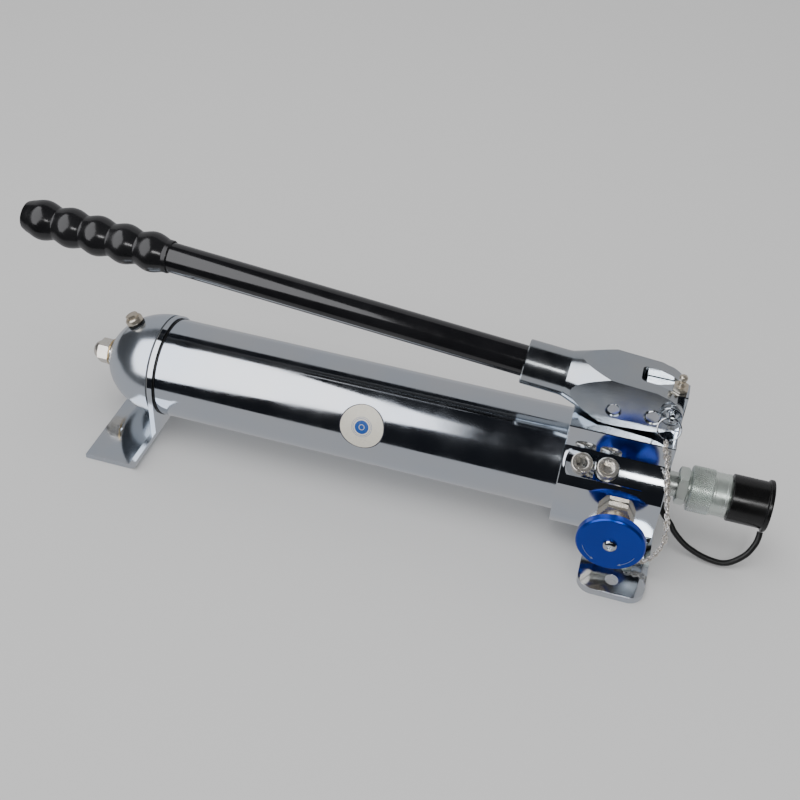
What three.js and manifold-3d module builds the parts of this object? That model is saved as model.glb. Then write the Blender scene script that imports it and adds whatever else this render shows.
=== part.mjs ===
// Hydraulic hand pump. Millimetres, +Z up, +X from the reservoir towards the outlet coupler.
// The origin is on the floor plane under the middle of the base plate.
import * as THREE from 'three';
import { mergeVertices } from 'three/addons/utils/BufferGeometryUtils.js';
import Module from 'manifold-3d';

const wasm = await Module();
wasm.setup();

// ---- Driving dimensions ----
const GAP = 0.3; // clearance between neighbouring pieces
const FINE = 32; // facets round the largest bodies
const MEDIUM = 20;
const SMALL = 14;
const AXIS_Z = 47.5; // height of the reservoir and outlet axis
const TANK_RADIUS = 40;
const TANK_WALL = 3;
const BLOCK_LEFT = -55;
const BLOCK_RIGHT = 22;
const BLOCK_RADIUS = 48.5;
const BLOCK_FLAT = 45.7; // distance of the front and back flats from the axis
const BLOCK_TOP = 105.5;
const BLOCK_TOP_HALF = 28.4; // half width of the raised top
const SOCKET_DEPTH = 6; // depth of the block's recess for the reservoir tube
const FOOT_FACE = -381; // block side of the rear foot's upright
const FOOT_THICK = 4;
const FOOT_HALF = 78.3;
const FOOT_LEFT = -425.5;
const DOME_RADIUS = 42;
const DOME_DEPTH = 50;
const DOME_WALL = 4;
const GASKET = 1;
const ROD_RADIUS = 6;
const PLATE_HALF = 86;
const PLATE_THICK = 6;
const PLATE_HOLE_RADIUS = 5;
const PLATE_HOLE_Y = 72.8;

const HANDLE_SLOPE = Math.atan(0.086); // the handle drops towards the coupler
const HANDLE_Z = 123.9; // height of the handle axis above the origin
const HANDLE_RADIUS = 11.65;
const HANDLE_BORE = 9;
const HANDLE_LEFT = -490;
const GRIP_TIP = -497;
const GRIP_RIGHT = -375.5;
const GRIP_PITCH = 22.5;
const GRIP_VALLEY = 12.8;
const GRIP_PEAK = 15.7;
const FORK_LEFT = -97;
const FORK_HALF = 18.75;
const FORK_RISE = 19.6;
const CHEEK_GAP = 8.4; // half width of the slot between the cheeks
const FULCRUM = [0.9, 121.9];
const FULCRUM_PIN_RADIUS = 5.5;
const CHEEK_RADIUS = 20.2;
const CRANK = [-27, 120.3]; // plunger pin
const CRANK_PIN_RADIUS = 5;
const CRANK_SHIFT = 5.5; // sideways travel of the plunger pin over the swing
const PLUNGER_X = -24.25;
const PLUNGER_RADIUS = 8;
const PLUNGER_BOTTOM = 56;
const LUG_HALF = 8.1;
const LUG_LEFT = -9.2;
const LUG_TOP = 137;
const LOCK = [13.2, 129.5];
const LOCK_PIN_RADIUS = 3.5;
const NIPPLE_X = 15.2;

const VALVE_X = -8; // release valve
const KNOB_RADIUS = 25;
const KNOB_FACE = 79;
const KNOB_BACK = 71.5;
const SPINDLE_RADIUS = 4;
const SCREW_TILT = THREE.MathUtils.degToRad(60); // rise of the two socket-head screws
const CHAMBERS = [
  { name: 'relief', x: -40.2, y: -38.8, z: 83.0 },
  { name: 'outlet', x: -21.4, y: -38.4, z: 83.5 },
];
const CHAMBER_DEPTH = 40;
const BALL_RADIUS = 3.5;
const INLET_Z = 30;

const X = new THREE.Vector3(1, 0, 0);
const Y = new THREE.Vector3(0, 1, 0);
const Z = new THREE.Vector3(0, 0, 1);
const FRONT = new THREE.Vector3(0, -1, 0);
const ORIGIN = new THREE.Vector3(0, 0, 0);
const HANDLE_AXIS = new THREE.Vector3(Math.cos(HANDLE_SLOPE), 0, -Math.sin(HANDLE_SLOPE));
const HANDLE_ORIGIN = new THREE.Vector3(0, 0, HANDLE_Z);
const SCREW_AXIS = new THREE.Vector3(0, Math.cos(SCREW_TILT), -Math.sin(SCREW_TILT)); // inwards

// ---- Finishes ----
const CHROME = { color: 0xc9ced4, roughness: 0.08, metalness: 1 };
const SATIN_STEEL = { color: 0xa4a8aa, roughness: 0.32, metalness: 1 };
const ZINC = { color: 0xb9bfba, roughness: 0.4, metalness: 1 };
const NICKEL = { color: 0xb0a898, roughness: 0.3, metalness: 1 };
const BRASS = { color: 0xb08d57, roughness: 0.35, metalness: 1 };
const BLACK_GLOSS = { color: 0x0c0c0e, roughness: 0.18, metalness: 0 };
const BLACK_PLASTIC = { color: 0x101113, roughness: 0.45, metalness: 0 };
const RUBBER = { color: 0x151515, roughness: 0.8, metalness: 0 };
const BLUE_ANODISED = { color: 0x0a45b0, roughness: 0.3, metalness: 1 };
const PAPER = { color: 0xe6e0cc, roughness: 0.5, metalness: 0 };

// ---- Solids ----

// A manifold solid from a closed three.js geometry, with its faces turned outwards.
function solid(geometry) {
  geometry.deleteAttribute('normal');
  geometry.deleteAttribute('uv');
  const merged = mergeVertices(geometry, 1e-4);
  const position = merged.attributes.position;
  const index = merged.index.array;
  const corner = [new THREE.Vector3(), new THREE.Vector3(), new THREE.Vector3()];
  const kept = [];
  let volume = 0;
  for (let i = 0; i < index.length; i += 3) {
    const [a, b, c] = [index[i], index[i + 1], index[i + 2]];
    if (a === b || b === c || c === a) continue;
    [a, b, c].forEach((vertex, k) => corner[k].fromBufferAttribute(position, vertex));
    volume += corner[0].dot(corner[1].clone().cross(corner[2]));
    kept.push([a, b, c]);
  }
  const triVerts = Uint32Array.from(kept.flatMap(([a, b, c]) => (volume > 0 ? [a, b, c] : [a, c, b])));
  const vertProperties = Float32Array.from(position.array);
  return new wasm.Manifold(new wasm.Mesh({ numProp: 3, vertProperties, triVerts }));
}

// A body turned about the line through origin along axis. The profile is a list of
// [distance along the axis, radius]; one that stays off the axis closes on itself.
function turned(origin, axis, profile, sides = MEDIUM) {
  const points = profile.map(([along, radius]) => new THREE.Vector2(radius, along));
  if (profile[0][1] > 0) points.push(points[0].clone());
  const geometry = new THREE.LatheGeometry(points, sides);
  geometry.applyQuaternion(new THREE.Quaternion().setFromUnitVectors(Y, axis));
  geometry.translate(origin.x, origin.y, origin.z);
  return solid(geometry);
}

function rod(origin, axis, from, to, radius, sides = SMALL) {
  return turned(origin, axis, [[from, 0], [from, radius], [to, radius], [to, 0]], sides);
}

// A drill for a hole whose flats stand at the given radius.
function drill(origin, axis, from, to, radius, sides = SMALL) {
  return rod(origin, axis, from, to, radius / Math.cos(Math.PI / sides), sides);
}

function tube(origin, axis, from, to, inner, outer, sides = MEDIUM) {
  return turned(origin, axis, [[from, inner], [from, outer], [to, outer], [to, inner]], sides);
}

function box(x0, x1, y0, y1, z0, z1) {
  const geometry = new THREE.BoxGeometry(x1 - x0, y1 - y0, z1 - z0);
  geometry.translate((x0 + x1) / 2, (y0 + y1) / 2, (z0 + z1) / 2);
  return solid(geometry);
}

// A hexagonal bar with its corners rounded off at both ends.
function hexBar(origin, axis, from, to, acrossFlats) {
  const corner = acrossFlats / Math.sqrt(3);
  const flat = acrossFlats / 2;
  const fade = (corner - flat) * 0.58;
  const bar = rod(origin, axis, from, to, corner, 6);
  const ends = [[from, 0], [from, flat], [from + fade, corner + 0.1]];
  ends.push([to - fade, corner + 0.1], [to, flat], [to, 0]);
  return bar.intersect(turned(origin, axis, ends, MEDIUM));
}

// An outline in the XZ plane, extruded from y0 to y1.
function slab(shape, y0, y1) {
  const options = { depth: y1 - y0, bevelEnabled: false, curveSegments: 8 };
  const geometry = new THREE.ExtrudeGeometry(shape, options);
  geometry.rotateX(Math.PI / 2);
  geometry.translate(0, y1, 0);
  return solid(geometry);
}

// An outline in the XY plane, extruded from z0 to z1.
function sheet(shape, z0, z1) {
  const options = { depth: z1 - z0, bevelEnabled: false, curveSegments: 6 };
  const geometry = new THREE.ExtrudeGeometry(shape, options);
  geometry.translate(0, 0, z0);
  return solid(geometry);
}

function outline(points) {
  return new THREE.Shape(points.map(([a, b]) => new THREE.Vector2(a, b)));
}

function circle(radius, sides) {
  const corners = Array.from({ length: sides }, (_, i) => {
    const angle = (2 * Math.PI * i) / sides;
    return [radius * Math.cos(angle), radius * Math.sin(angle)];
  });
  return outline(corners);
}

// A round section swept along a smooth route.
function swept(route, radius, sides, steps) {
  const path = new THREE.CatmullRomCurve3(route.map((point) => new THREE.Vector3(...point)));
  return solid(new THREE.ExtrudeGeometry(circle(radius, sides), { extrudePath: path, steps }));
}

function hoop(centre, normal, radius, wire) {
  const geometry = new THREE.TorusGeometry(radius, wire, 6, MEDIUM);
  geometry.applyQuaternion(new THREE.Quaternion().setFromUnitVectors(Z, normal));
  geometry.translate(centre.x, centre.y, centre.z);
  return solid(geometry);
}

function ball(centre, radius) {
  const geometry = new THREE.SphereGeometry(radius, 12, 8);
  geometry.translate(centre.x, centre.y, centre.z);
  return solid(geometry);
}

// A compression spring about axis, from start over length.
function coil(start, axis, length, radius, wire, turns) {
  const side = new THREE.Vector3().crossVectors(axis, Math.abs(axis.x) > 0.5 ? Z : X).normalize();
  const across = new THREE.Vector3().crossVectors(axis, side);
  const perTurn = 8;
  const route = [];
  for (let i = 0; i <= turns * perTurn; i += 1) {
    const angle = (2 * Math.PI * i) / perTurn;
    const point = start.clone().addScaledVector(axis, (length * i) / (turns * perTurn));
    point.addScaledVector(side, radius * Math.cos(angle));
    point.addScaledVector(across, radius * Math.sin(angle));
    route.push(point.toArray());
  }
  return swept(route, wire, 5, turns * perTurn);
}

function at(x, y, z) {
  return new THREE.Vector3(x, y, z);
}

const pump = new THREE.Group();

// Adds one piece to a group as a named mesh with its own material.
function piece(group, name, body, finish) {
  const mesh = body.getMesh();
  const geometry = new THREE.BufferGeometry();
  geometry.setAttribute('position', new THREE.BufferAttribute(mesh.vertProperties, 3));
  geometry.setIndex(new THREE.BufferAttribute(mesh.triVerts, 1));
  geometry.computeVertexNormals();
  const object = new THREE.Mesh(geometry, new THREE.MeshStandardMaterial(finish));
  object.name = name;
  group.add(object);
}

function subassembly(x, y, z) {
  const group = new THREE.Group();
  group.position.set(x, y, z);
  pump.add(group);
  return group;
}

// ---- Reservoir, about its own axis ----
function reservoir() {
  const group = subassembly(0, 0, AXIS_Z);
  const socketFloor = BLOCK_LEFT + SOCKET_DEPTH;
  const tubeLeft = FOOT_FACE + 2 * GAP + GASKET;
  const inner = TANK_RADIUS - TANK_WALL;
  const shell = tube(ORIGIN, X, tubeLeft, socketFloor - GAP, inner, TANK_RADIUS, FINE);
  piece(group, 'reservoir_tube', shell, CHROME);
  const seal = tube(ORIGIN, X, socketFloor + 0.1, socketFloor + 2.1, 37.4, 39.6, FINE);
  piece(group, 'tank_seal', seal, RUBBER);

  const ringLeft = FOOT_FACE - FOOT_THICK;
  const front = tube(ORIGIN, X, FOOT_FACE + GAP, FOOT_FACE + GAP + GASKET, inner, TANK_RADIUS + 0.6, FINE);
  const back = tube(ORIGIN, X, ringLeft - GAP - GASKET, ringLeft - GAP, inner, DOME_RADIUS - 1.4, FINE);
  piece(group, 'foot_gasket_front', front, RUBBER);
  piece(group, 'foot_gasket_rear', back, RUBBER);
  piece(group, 'end_cap', endCap(ringLeft), CHROME);
  ventPlug(group, ringLeft);

  const capEnd = ringLeft - DOME_DEPTH + 1;
  piece(group, 'tie_rod', rod(ORIGIN, X, capEnd - 13, socketFloor + 13, ROD_RADIUS), ZINC);
  piece(group, 'seal_washer', tube(ORIGIN, X, capEnd - 1.8, capEnd - GAP, 6.3, 11.5, SMALL), BRASS);
  const nutFace = capEnd - 2.1;
  const dome = turned(ORIGIN, X, [[nutFace - 16.3, 0], [nutFace - 15.6, 3.6], [nutFace - 13.4, 6.6],
    [nutFace - 9.9, 8.4], [nutFace - 8, 8.4], [nutFace - 8, 0]], SMALL);
  const nut = hexBar(ORIGIN, X, nutFace - 9.9, nutFace, 18.5).add(dome);
  const thread = drill(ORIGIN, X, nutFace - 12, nutFace + 1, ROD_RADIUS + GAP);
  piece(group, 'acorn_nut', nut.subtract(thread), CHROME);
}

// Point of the domed cap's outer ellipse, where turn is 0 at the rim and a right angle at the pole.
function domePoint(ringLeft, turn, thickness) {
  return [ringLeft - (DOME_DEPTH - thickness) * Math.sin(turn), (DOME_RADIUS - thickness) * Math.cos(turn)];
}

const VENT_TURN = THREE.MathUtils.degToRad(31);

function ventAxis(ringLeft) {
  const [x, z] = domePoint(ringLeft, VENT_TURN, 0);
  const normal = at(-Math.sin(VENT_TURN) / DOME_DEPTH, 0, Math.cos(VENT_TURN) / DOME_RADIUS).normalize();
  return { seat: at(x, 0, z), normal };
}

function endCap(ringLeft) {
  const rim = ringLeft - 2 * GAP - GASKET;
  const flatEnd = ringLeft - DOME_DEPTH + 1;
  const steps = 6;
  const rimTurn = Math.asin((ringLeft - rim) / DOME_DEPTH);
  const outer = [];
  const inner = [];
  for (let i = 0; i <= steps; i += 1) {
    const turn = rimTurn + ((THREE.MathUtils.degToRad(74) - rimTurn) * i) / steps;
    outer.push(domePoint(ringLeft, turn, 0));
    inner.unshift(domePoint(ringLeft, turn, DOME_WALL));
  }
  const boss = [[flatEnd, 12], [flatEnd, ROD_RADIUS + GAP], [flatEnd + 5.5, ROD_RADIUS + GAP]];
  const shell = turned(ORIGIN, X, [...outer, ...boss, ...inner], FINE);
  const { seat, normal } = ventAxis(ringLeft);
  const bore = drill(seat, normal, -12, 3, 5 + GAP);
  return shell.subtract(bore).subtract(drill(seat, normal, -0.4, 4, 7.6));
}

function ventPlug(group, ringLeft) {
  const { seat, normal } = ventAxis(ringLeft);
  piece(group, 'vent_seal', tube(seat, normal, -0.1, 1.2, 5 + GAP, 7.1, SMALL), RUBBER);
  const stem = rod(seat, normal, -9, 2, 5);
  const head = turned(seat, normal, [[1.5, 0], [1.5, 6.6], [2.2, 7], [5.6, 7], [6.6, 6.2], [6.6, 0]], SMALL);
  piece(group, 'vent_plug', stem.add(head).add(hexBar(seat, normal, 6, 9.4, 9)), NICKEL);
}

// ---- Feet ----
function rearFoot() {
  const bend = 3;
  const back = FOOT_FACE - FOOT_THICK;
  const lip = 9.5;
  const profile = new THREE.Shape();
  profile.moveTo(FOOT_LEFT, 0);
  profile.lineTo(FOOT_FACE - bend - FOOT_THICK, 0);
  const outerBend = bend + FOOT_THICK;
  profile.absarc(FOOT_FACE - outerBend, outerBend, outerBend, -Math.PI / 2, 0, false);
  profile.lineTo(FOOT_FACE, lip);
  profile.lineTo(back, lip);
  profile.absarc(back - bend, bend + FOOT_THICK, bend, 0, -Math.PI / 2, true);
  profile.lineTo(FOOT_LEFT, FOOT_THICK);
  const axis = at(0, 0, AXIS_Z);
  const flange = slab(profile, -FOOT_HALF, FOOT_HALF);
  const web = box(back, FOOT_FACE, -DOME_RADIUS, DOME_RADIUS, lip - 1, AXIS_Z);
  const ring = rod(axis, X, back, FOOT_FACE, DOME_RADIUS, FINE);
  const bore = drill(axis, X, back - 1, FOOT_FACE + 1, TANK_RADIUS - TANK_WALL - 1, FINE);
  piece(pump, 'rear_foot', flange.add(web).add(ring).subtract(bore), CHROME);
}

const BASE_SCREWS = [[-15, -15], [-15, 15], [12, -15], [12, 15]];
const CHAIN_ANCHOR = [9, -56];

function countersunk(x, y, spread) {
  const low = 0.2 - 4 * spread;
  const high = 17 + spread;
  const profile = [[low, 0], [low, 5.8 + spread], [0.2, 5.8 + spread], [3, 3 + spread], [high, 3 + spread],
    [high, 0]];
  return turned(at(x, y, 0), Z, profile, SMALL);
}

function basePlate() {
  const half = 25;
  const corner = 12;
  const shape = new THREE.Shape();
  shape.moveTo(-half + corner, -PLATE_HALF);
  shape.absarc(half - corner, -PLATE_HALF + corner, corner, -Math.PI / 2, 0, false);
  shape.absarc(half - corner, PLATE_HALF - corner, corner, 0, Math.PI / 2, false);
  shape.absarc(-half + corner, PLATE_HALF - corner, corner, Math.PI / 2, Math.PI, false);
  shape.absarc(-half + corner, -PLATE_HALF + corner, corner, Math.PI, 1.5 * Math.PI, false);
  let plate = sheet(shape, 0, PLATE_THICK);
  for (const y of [-PLATE_HOLE_Y, PLATE_HOLE_Y]) {
    plate = plate.subtract(drill(at(0, y, 0), Z, -1, PLATE_THICK + 1, PLATE_HOLE_RADIUS));
  }
  for (const [x, y] of BASE_SCREWS) plate = plate.subtract(countersunk(x, y, GAP));
  const [anchorX, anchorY] = CHAIN_ANCHOR;
  plate = plate.subtract(drill(at(anchorX, anchorY, 0), Z, -1, PLATE_THICK + 1, 2 + GAP, 16));
  piece(pump, 'base_plate', plate, CHROME);
  BASE_SCREWS.forEach(([x, y], i) => {
    const socket = drill(at(x, y, 0), Z, -1, 2.6, 2.3, 6);
    piece(pump, `base_screw_${i + 1}`, countersunk(x, y, 0).subtract(socket), ZINC);
  });
  const top = PLATE_THICK + GAP;
  const profile = [[0.8, 0], [0.8, 2], [top, 2], [top, 4], [top + 1.6, 3.6], [top + 2.4, 2.2], [top + 2.6, 0]];
  const anchor = turned(at(anchorX, anchorY, 0), Z, profile, SMALL);
  piece(pump, 'chain_anchor', anchor, ZINC);
}

// ---- Pump block with the handle lug ----
function pumpBlock() {
  const axis = at(0, 0, AXIS_Z);
  const bottom = PLATE_THICK + GAP;
  const round = rod(axis, X, BLOCK_LEFT, BLOCK_RIGHT, BLOCK_RADIUS, FINE + 12);
  const limits = box(BLOCK_LEFT - 1, BLOCK_RIGHT + 1, -BLOCK_FLAT, BLOCK_FLAT, bottom, AXIS_Z + 60);
  const raised = box(BLOCK_LEFT, BLOCK_RIGHT, -BLOCK_TOP_HALF, BLOCK_TOP_HALF, AXIS_Z, BLOCK_TOP);
  const lug = box(LUG_LEFT, BLOCK_RIGHT, -LUG_HALF, LUG_HALF, BLOCK_TOP - 1, LUG_TOP);
  const floor = BLOCK_LEFT + SOCKET_DEPTH;
  const plungerLine = at(PLUNGER_X, 0, 0);
  const valveLine = at(VALVE_X, 0, AXIS_Z);
  const cuts = [
    drill(axis, X, BLOCK_LEFT - 1, floor, TANK_RADIUS + GAP, FINE),
    tube(axis, X, floor - 1, floor + 2.4, 37.1, 39.9, FINE),
    drill(axis, X, floor - 1, floor + 14, ROD_RADIUS + GAP),
    drill(at(0, 0, INLET_Z), X, floor - 1, PLUNGER_X, 4 + GAP),
    drill(plungerLine, Z, 24, 51, 3 + GAP, 16),
    drill(plungerLine, Z, 50, BLOCK_TOP + 1, PLUNGER_RADIUS + GAP),
    drill(plungerLine, Z, 88.5, 92, 11.3),
    drill(plungerLine, Z, 91.5, BLOCK_TOP + 1, 15 + GAP),
    drill(axis, X, VALVE_X, BLOCK_RIGHT + 1, 4 + GAP),
    drill(axis, X, BLOCK_RIGHT - 13.3, BLOCK_RIGHT + 1, 9.4 + GAP),
    drill(valveLine, FRONT, 26.7, BLOCK_FLAT + 1, 8 + GAP),
    drill(valveLine, FRONT, 8, 27, 4.6),
    drill(valveLine, FRONT, 0, 9, 2, 12),
    drill(at(0, -25, AXIS_Z - 4), X, floor - 1, VALVE_X, 2, 12),
    drill(at(FULCRUM[0], 0, FULCRUM[1]), Y, -LUG_HALF - 1, LUG_HALF + 1, FULCRUM_PIN_RADIUS + GAP),
    drill(at(LOCK[0], 0, LOCK[1]), Y, -LUG_HALF - 1, LUG_HALF + 1, LOCK_PIN_RADIUS + GAP),
    drill(at(NIPPLE_X, 0, 0), Z, LUG_TOP - 2.5, LUG_TOP + 1, 2.5 + GAP, 16),
  ];
  for (const { x, y, z } of CHAMBERS) {
    cuts.push(drill(at(x, y, z), SCREW_AXIS, -20, 10 + GAP, 8.75));
    cuts.push(drill(at(x, y, z), SCREW_AXIS, 9, CHAMBER_DEPTH, 5 + GAP));
  }
  const [relief, outlet] = CHAMBERS;
  const reliefVent = at(0, relief.y, relief.z).addScaledVector(SCREW_AXIS, 37);
  const crossTap = at(0, relief.y, relief.z).addScaledVector(SCREW_AXIS, 42);
  const delivery = at(0, outlet.y, outlet.z).addScaledVector(SCREW_AXIS, 35);
  cuts.push(drill(reliefVent, X, floor - 1, relief.x, 2, 12));
  cuts.push(drill(at(relief.x, relief.y, relief.z), SCREW_AXIS, CHAMBER_DEPTH - 1, 43, 2, 12));
  cuts.push(drill(crossTap, X, relief.x, outlet.x, 1.6, 12));
  cuts.push(drill(at(outlet.x, outlet.y, outlet.z), SCREW_AXIS, CHAMBER_DEPTH - 1, 74, 2, 12));
  cuts.push(drill(delivery, X, outlet.x, VALVE_X, 2, 12));
  for (const [x, y] of BASE_SCREWS) cuts.push(drill(at(x, y, 0), Z, bottom - 1, 19, 3 + GAP, SMALL));
  let body = round.add(raised).intersect(limits).add(lug);
  for (const cut of cuts) body = body.subtract(cut);
  piece(pump, 'pump_block', body, CHROME);
}

// ---- Valves inside the block ----
function blockValves() {
  for (const { name, x, y, z } of CHAMBERS) {
    const head = at(x, y, z);
    const profile = [[0, 0], [0, 7.4], [0.6, 8], [10, 8], [10, 5], [22, 5], [22, 0]];
    const socket = drill(head, SCREW_AXIS, -1, 5, 4.6, 6);
    const screw = turned(head, SCREW_AXIS, profile, MEDIUM).subtract(socket);
    piece(pump, `${name}_valve_screw`, screw, CHROME);
    const spring = coil(head.clone().addScaledVector(SCREW_AXIS, 22.9), SCREW_AXIS, 9.5, 3.2, 0.5, 4);
    piece(pump, `${name}_spring`, spring, SATIN_STEEL);
    const centre = head.clone().addScaledVector(SCREW_AXIS, CHAMBER_DEPTH - 3.2);
    piece(pump, `${name}_ball`, ball(centre, BALL_RADIUS), SATIN_STEEL);
  }
  const pipe = circle(4, 8);
  pipe.holes.push(circle(2.6, 8));
  const route = [[-38, 30], [-52, 30], [-66, 29.6], [-78, 27], [-88, 23.4], [-99.7, 22]];
  const path = new THREE.CatmullRomCurve3(route.map(([x, z]) => at(x, 0, z)));
  const suction = new THREE.ExtrudeGeometry(pipe, { extrudePath: path, steps: 9 });
  piece(pump, 'suction_tube', solid(suction), ZINC);
  piece(pump, 'suction_filter', rod(at(0, 0, 22), X, -125, -100.3, 8), BRASS);
  piece(pump, 'inlet_ball', ball(at(-35.2, 0, INLET_Z), BALL_RADIUS), SATIN_STEEL);
}

// ---- Plunger and its gland ----
function plungerAssembly() {
  const line = at(PLUNGER_X, 0, 0);
  const top = BLOCK_TOP - GAP;
  let gland = tube(line, Z, 91.8, top, PLUNGER_RADIUS + GAP, 15, MEDIUM);
  for (const side of [-1, 1]) {
    const hole = at(PLUNGER_X + side * 11.6, 0, 0);
    gland = gland.subtract(drill(hole, Z, top - 3, top + 1, 1.5, 12));
  }
  piece(pump, 'plunger_gland', gland, NICKEL);
  piece(pump, 'plunger_seal', tube(line, Z, 88.8, 91.2, PLUNGER_RADIUS + GAP, 11, MEDIUM), RUBBER);
  const stadium = (radius) => {
    const shape = new THREE.Shape();
    const [x, z] = CRANK;
    shape.absarc(x, z, radius, Math.PI / 2, 1.5 * Math.PI, false);
    shape.absarc(x + CRANK_SHIFT, z, radius, -Math.PI / 2, Math.PI / 2, false);
    return shape;
  };
  const shank = rod(line, Z, PLUNGER_BOTTOM, CRANK[1] - 4, PLUNGER_RADIUS, MEDIUM);
  const eye = slab(stadium(8.8), -7.7, 7.7);
  const slot = slab(stadium(CRANK_PIN_RADIUS + 0.8), -10, 10);
  piece(pump, 'plunger', shank.add(eye).subtract(slot), CHROME);
}

// ---- Handle ----
function handle() {
  const group = subassembly(0, 0, HANDLE_Z);
  group.rotation.y = HANDLE_SLOPE;
  const tubeEnd = FORK_LEFT + 34.5;
  const lever = tube(ORIGIN, X, HANDLE_LEFT, tubeEnd, HANDLE_BORE, HANDLE_RADIUS, FINE);
  piece(group, 'handle_tube', lever, BLACK_GLOSS);
  const bore = HANDLE_RADIUS + 2 * GAP;
  const profile = [[GRIP_TIP + 6, 0], [GRIP_TIP + 6, bore], [GRIP_RIGHT, bore], [GRIP_RIGHT, 12.5]];
  const ribs = 5;
  const perRib = 5;
  const first = GRIP_RIGHT - 4 - ribs * GRIP_PITCH;
  for (let i = ribs * perRib; i >= 0; i -= 1) {
    const swell = Math.sin((Math.PI * (i % perRib)) / perRib) ** 1.4;
    profile.push([first + (i * GRIP_PITCH) / perRib, GRIP_VALLEY + (GRIP_PEAK - GRIP_VALLEY) * swell]);
  }
  profile.push([GRIP_TIP + 1.6, 11.6], [GRIP_TIP + 0.4, 8], [GRIP_TIP, 0]);
  piece(group, 'handle_grip', turned(ORIGIN, X, profile, SMALL + 2), BLACK_PLASTIC);
  forkHead();
}

function axisHeight(x) {
  return HANDLE_Z - x * Math.tan(HANDLE_SLOPE);
}

function forkHead() {
  const [fx, fz] = FULCRUM;
  const cheek = new THREE.Shape();
  const nose = THREE.MathUtils.degToRad(80);
  cheek.moveTo(FORK_LEFT - 2, axisHeight(FORK_LEFT) + FORK_RISE);
  cheek.lineTo(fx - 1, axisHeight(fx) + FORK_RISE);
  cheek.absarc(fx, fz, CHEEK_RADIUS, nose, THREE.MathUtils.degToRad(-8), true);
  cheek.lineTo(fx + 17.4, fz - 6.2);
  cheek.lineTo(fx + 13.7, fz - 9);
  cheek.lineTo(fx - 1.7, fz - 13.5);
  cheek.lineTo(CRANK[0], axisHeight(CRANK[0]) - FORK_RISE - 0.2);
  cheek.lineTo(FORK_LEFT - 2, axisHeight(FORK_LEFT) - FORK_RISE);
  const socketEnd = FORK_LEFT + 30;
  const form = [[FORK_LEFT, 0], [FORK_LEFT, 16], [FORK_LEFT + 0.8, 16.75], [socketEnd, 16.75],
    [socketEnd + 35, 28], [40, 28], [40, 0]];
  const turnedForm = turned(HANDLE_ORIGIN, HANDLE_AXIS, form, MEDIUM);
  const roof = axisHeight(CRANK[0]) + 10;
  const holes = [[CRANK, CRANK_PIN_RADIUS], [FULCRUM, FULCRUM_PIN_RADIUS], [LOCK, LOCK_PIN_RADIUS]];
  let head = slab(cheek, -FORK_HALF, FORK_HALF).intersect(turnedForm);
  const bore = HANDLE_RADIUS + GAP;
  head = head.subtract(drill(HANDLE_ORIGIN, HANDLE_AXIS, FORK_LEFT - 1, FORK_LEFT + 35, bore, FINE));
  head = head.subtract(box(-41, 40, -CHEEK_GAP, CHEEK_GAP, 80, roof));
  head = head.subtract(box(-13, 40, -CHEEK_GAP, CHEEK_GAP, 80, 160));
  for (const [[x, z], radius] of holes) {
    head = head.subtract(drill(at(x, 0, z), Y, -20, 20, radius + GAP));
  }
  for (const side of [-1, 1]) {
    const out = at(0, side, 0);
    const recess = drill(at(CRANK[0], 0, CRANK[1]), out, FORK_HALF - 1.4, 20, CRANK_PIN_RADIUS + 1);
    head = head.subtract(recess);
    const inside = FORK_HALF - 0.8;
    const outside = FORK_HALF + 0.2;
    const bevel = [[inside, 0], [inside, FULCRUM_PIN_RADIUS + GAP], [outside, 7], [outside, 0]];
    head = head.subtract(turned(at(fx, 0, fz), out, bevel, SMALL));
  }
  piece(pump, 'fork_head', head, SATIN_STEEL);
  const pin = (half, radius) => {
    const end = half - 0.6;
    return [[-half, 0], [-half, radius - 0.6], [-end, radius], [end, radius], [half, radius - 0.6], [half, 0]];
  };
  const crankPin = turned(at(CRANK[0], 0, CRANK[1]), Y, pin(17.6, CRANK_PIN_RADIUS), SMALL);
  piece(pump, 'plunger_pin', crankPin, CHROME);
  const pivotPin = turned(at(fx, 0, fz), Y, pin(18.6, FULCRUM_PIN_RADIUS), SMALL);
  piece(pump, 'fulcrum_pin', pivotPin, CHROME);
}

function greaseNipple() {
  const base = at(NIPPLE_X, 0, 0);
  const top = LUG_TOP + GAP;
  const profile = [[LUG_TOP - 2, 0], [LUG_TOP - 2, 2.5], [top + 0.5, 2.5], [top + 4, 2.8], [top + 6, 2.2],
    [top + 7.4, 2.2], [top + 8.6, 2.9], [top + 10, 3.15], [top + 11.6, 2.7], [top + 13, 1.2], [top + 13, 0]];
  const stem = turned(base, Z, profile, SMALL);
  piece(pump, 'grease_nipple', hexBar(base, Z, top, top + 4, 10).add(stem), NICKEL);
}

// ---- Lock pin, its rings and chain ----
const EYE = at(LOCK[0], -23.8, LOCK[1] - 0.2);

function lockPin() {
  const line = at(LOCK[0], 0, LOCK[1]);
  const face = FORK_HALF + GAP;
  const profile = [[8.8, 0], [8.8, 2.8], [9.6, LOCK_PIN_RADIUS], [face, LOCK_PIN_RADIUS], [face, 4.4],
    [face + 1.4, 4.4], [face + 1.4, 2.4], [22.6, 2.4], [22.6, 0]];
  const pin = turned(line, FRONT, profile, SMALL);
  const eye = rod(EYE, X, -1.8, 1.8, 3.4, SMALL);
  piece(pump, 'lock_pin', pin.add(eye).subtract(drill(EYE, X, -4, 4, 1.7, 16)), CHROME);
  piece(pump, 'pin_ring', hoop(at(12.4, -21.9, 128.6), Y, 7.4, 0.6), CHROME);
  const radius = 8.2;
  const lean = Math.PI / 6;
  const centre = EYE.clone().addScaledVector(at(0, Math.sin(lean), Math.cos(lean)), -radius);
  const ring = hoop(centre, at(0, -Math.cos(lean), Math.sin(lean)), radius, 0.65);
  piece(pump, 'chain_ring', ring, CHROME);
}

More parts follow.
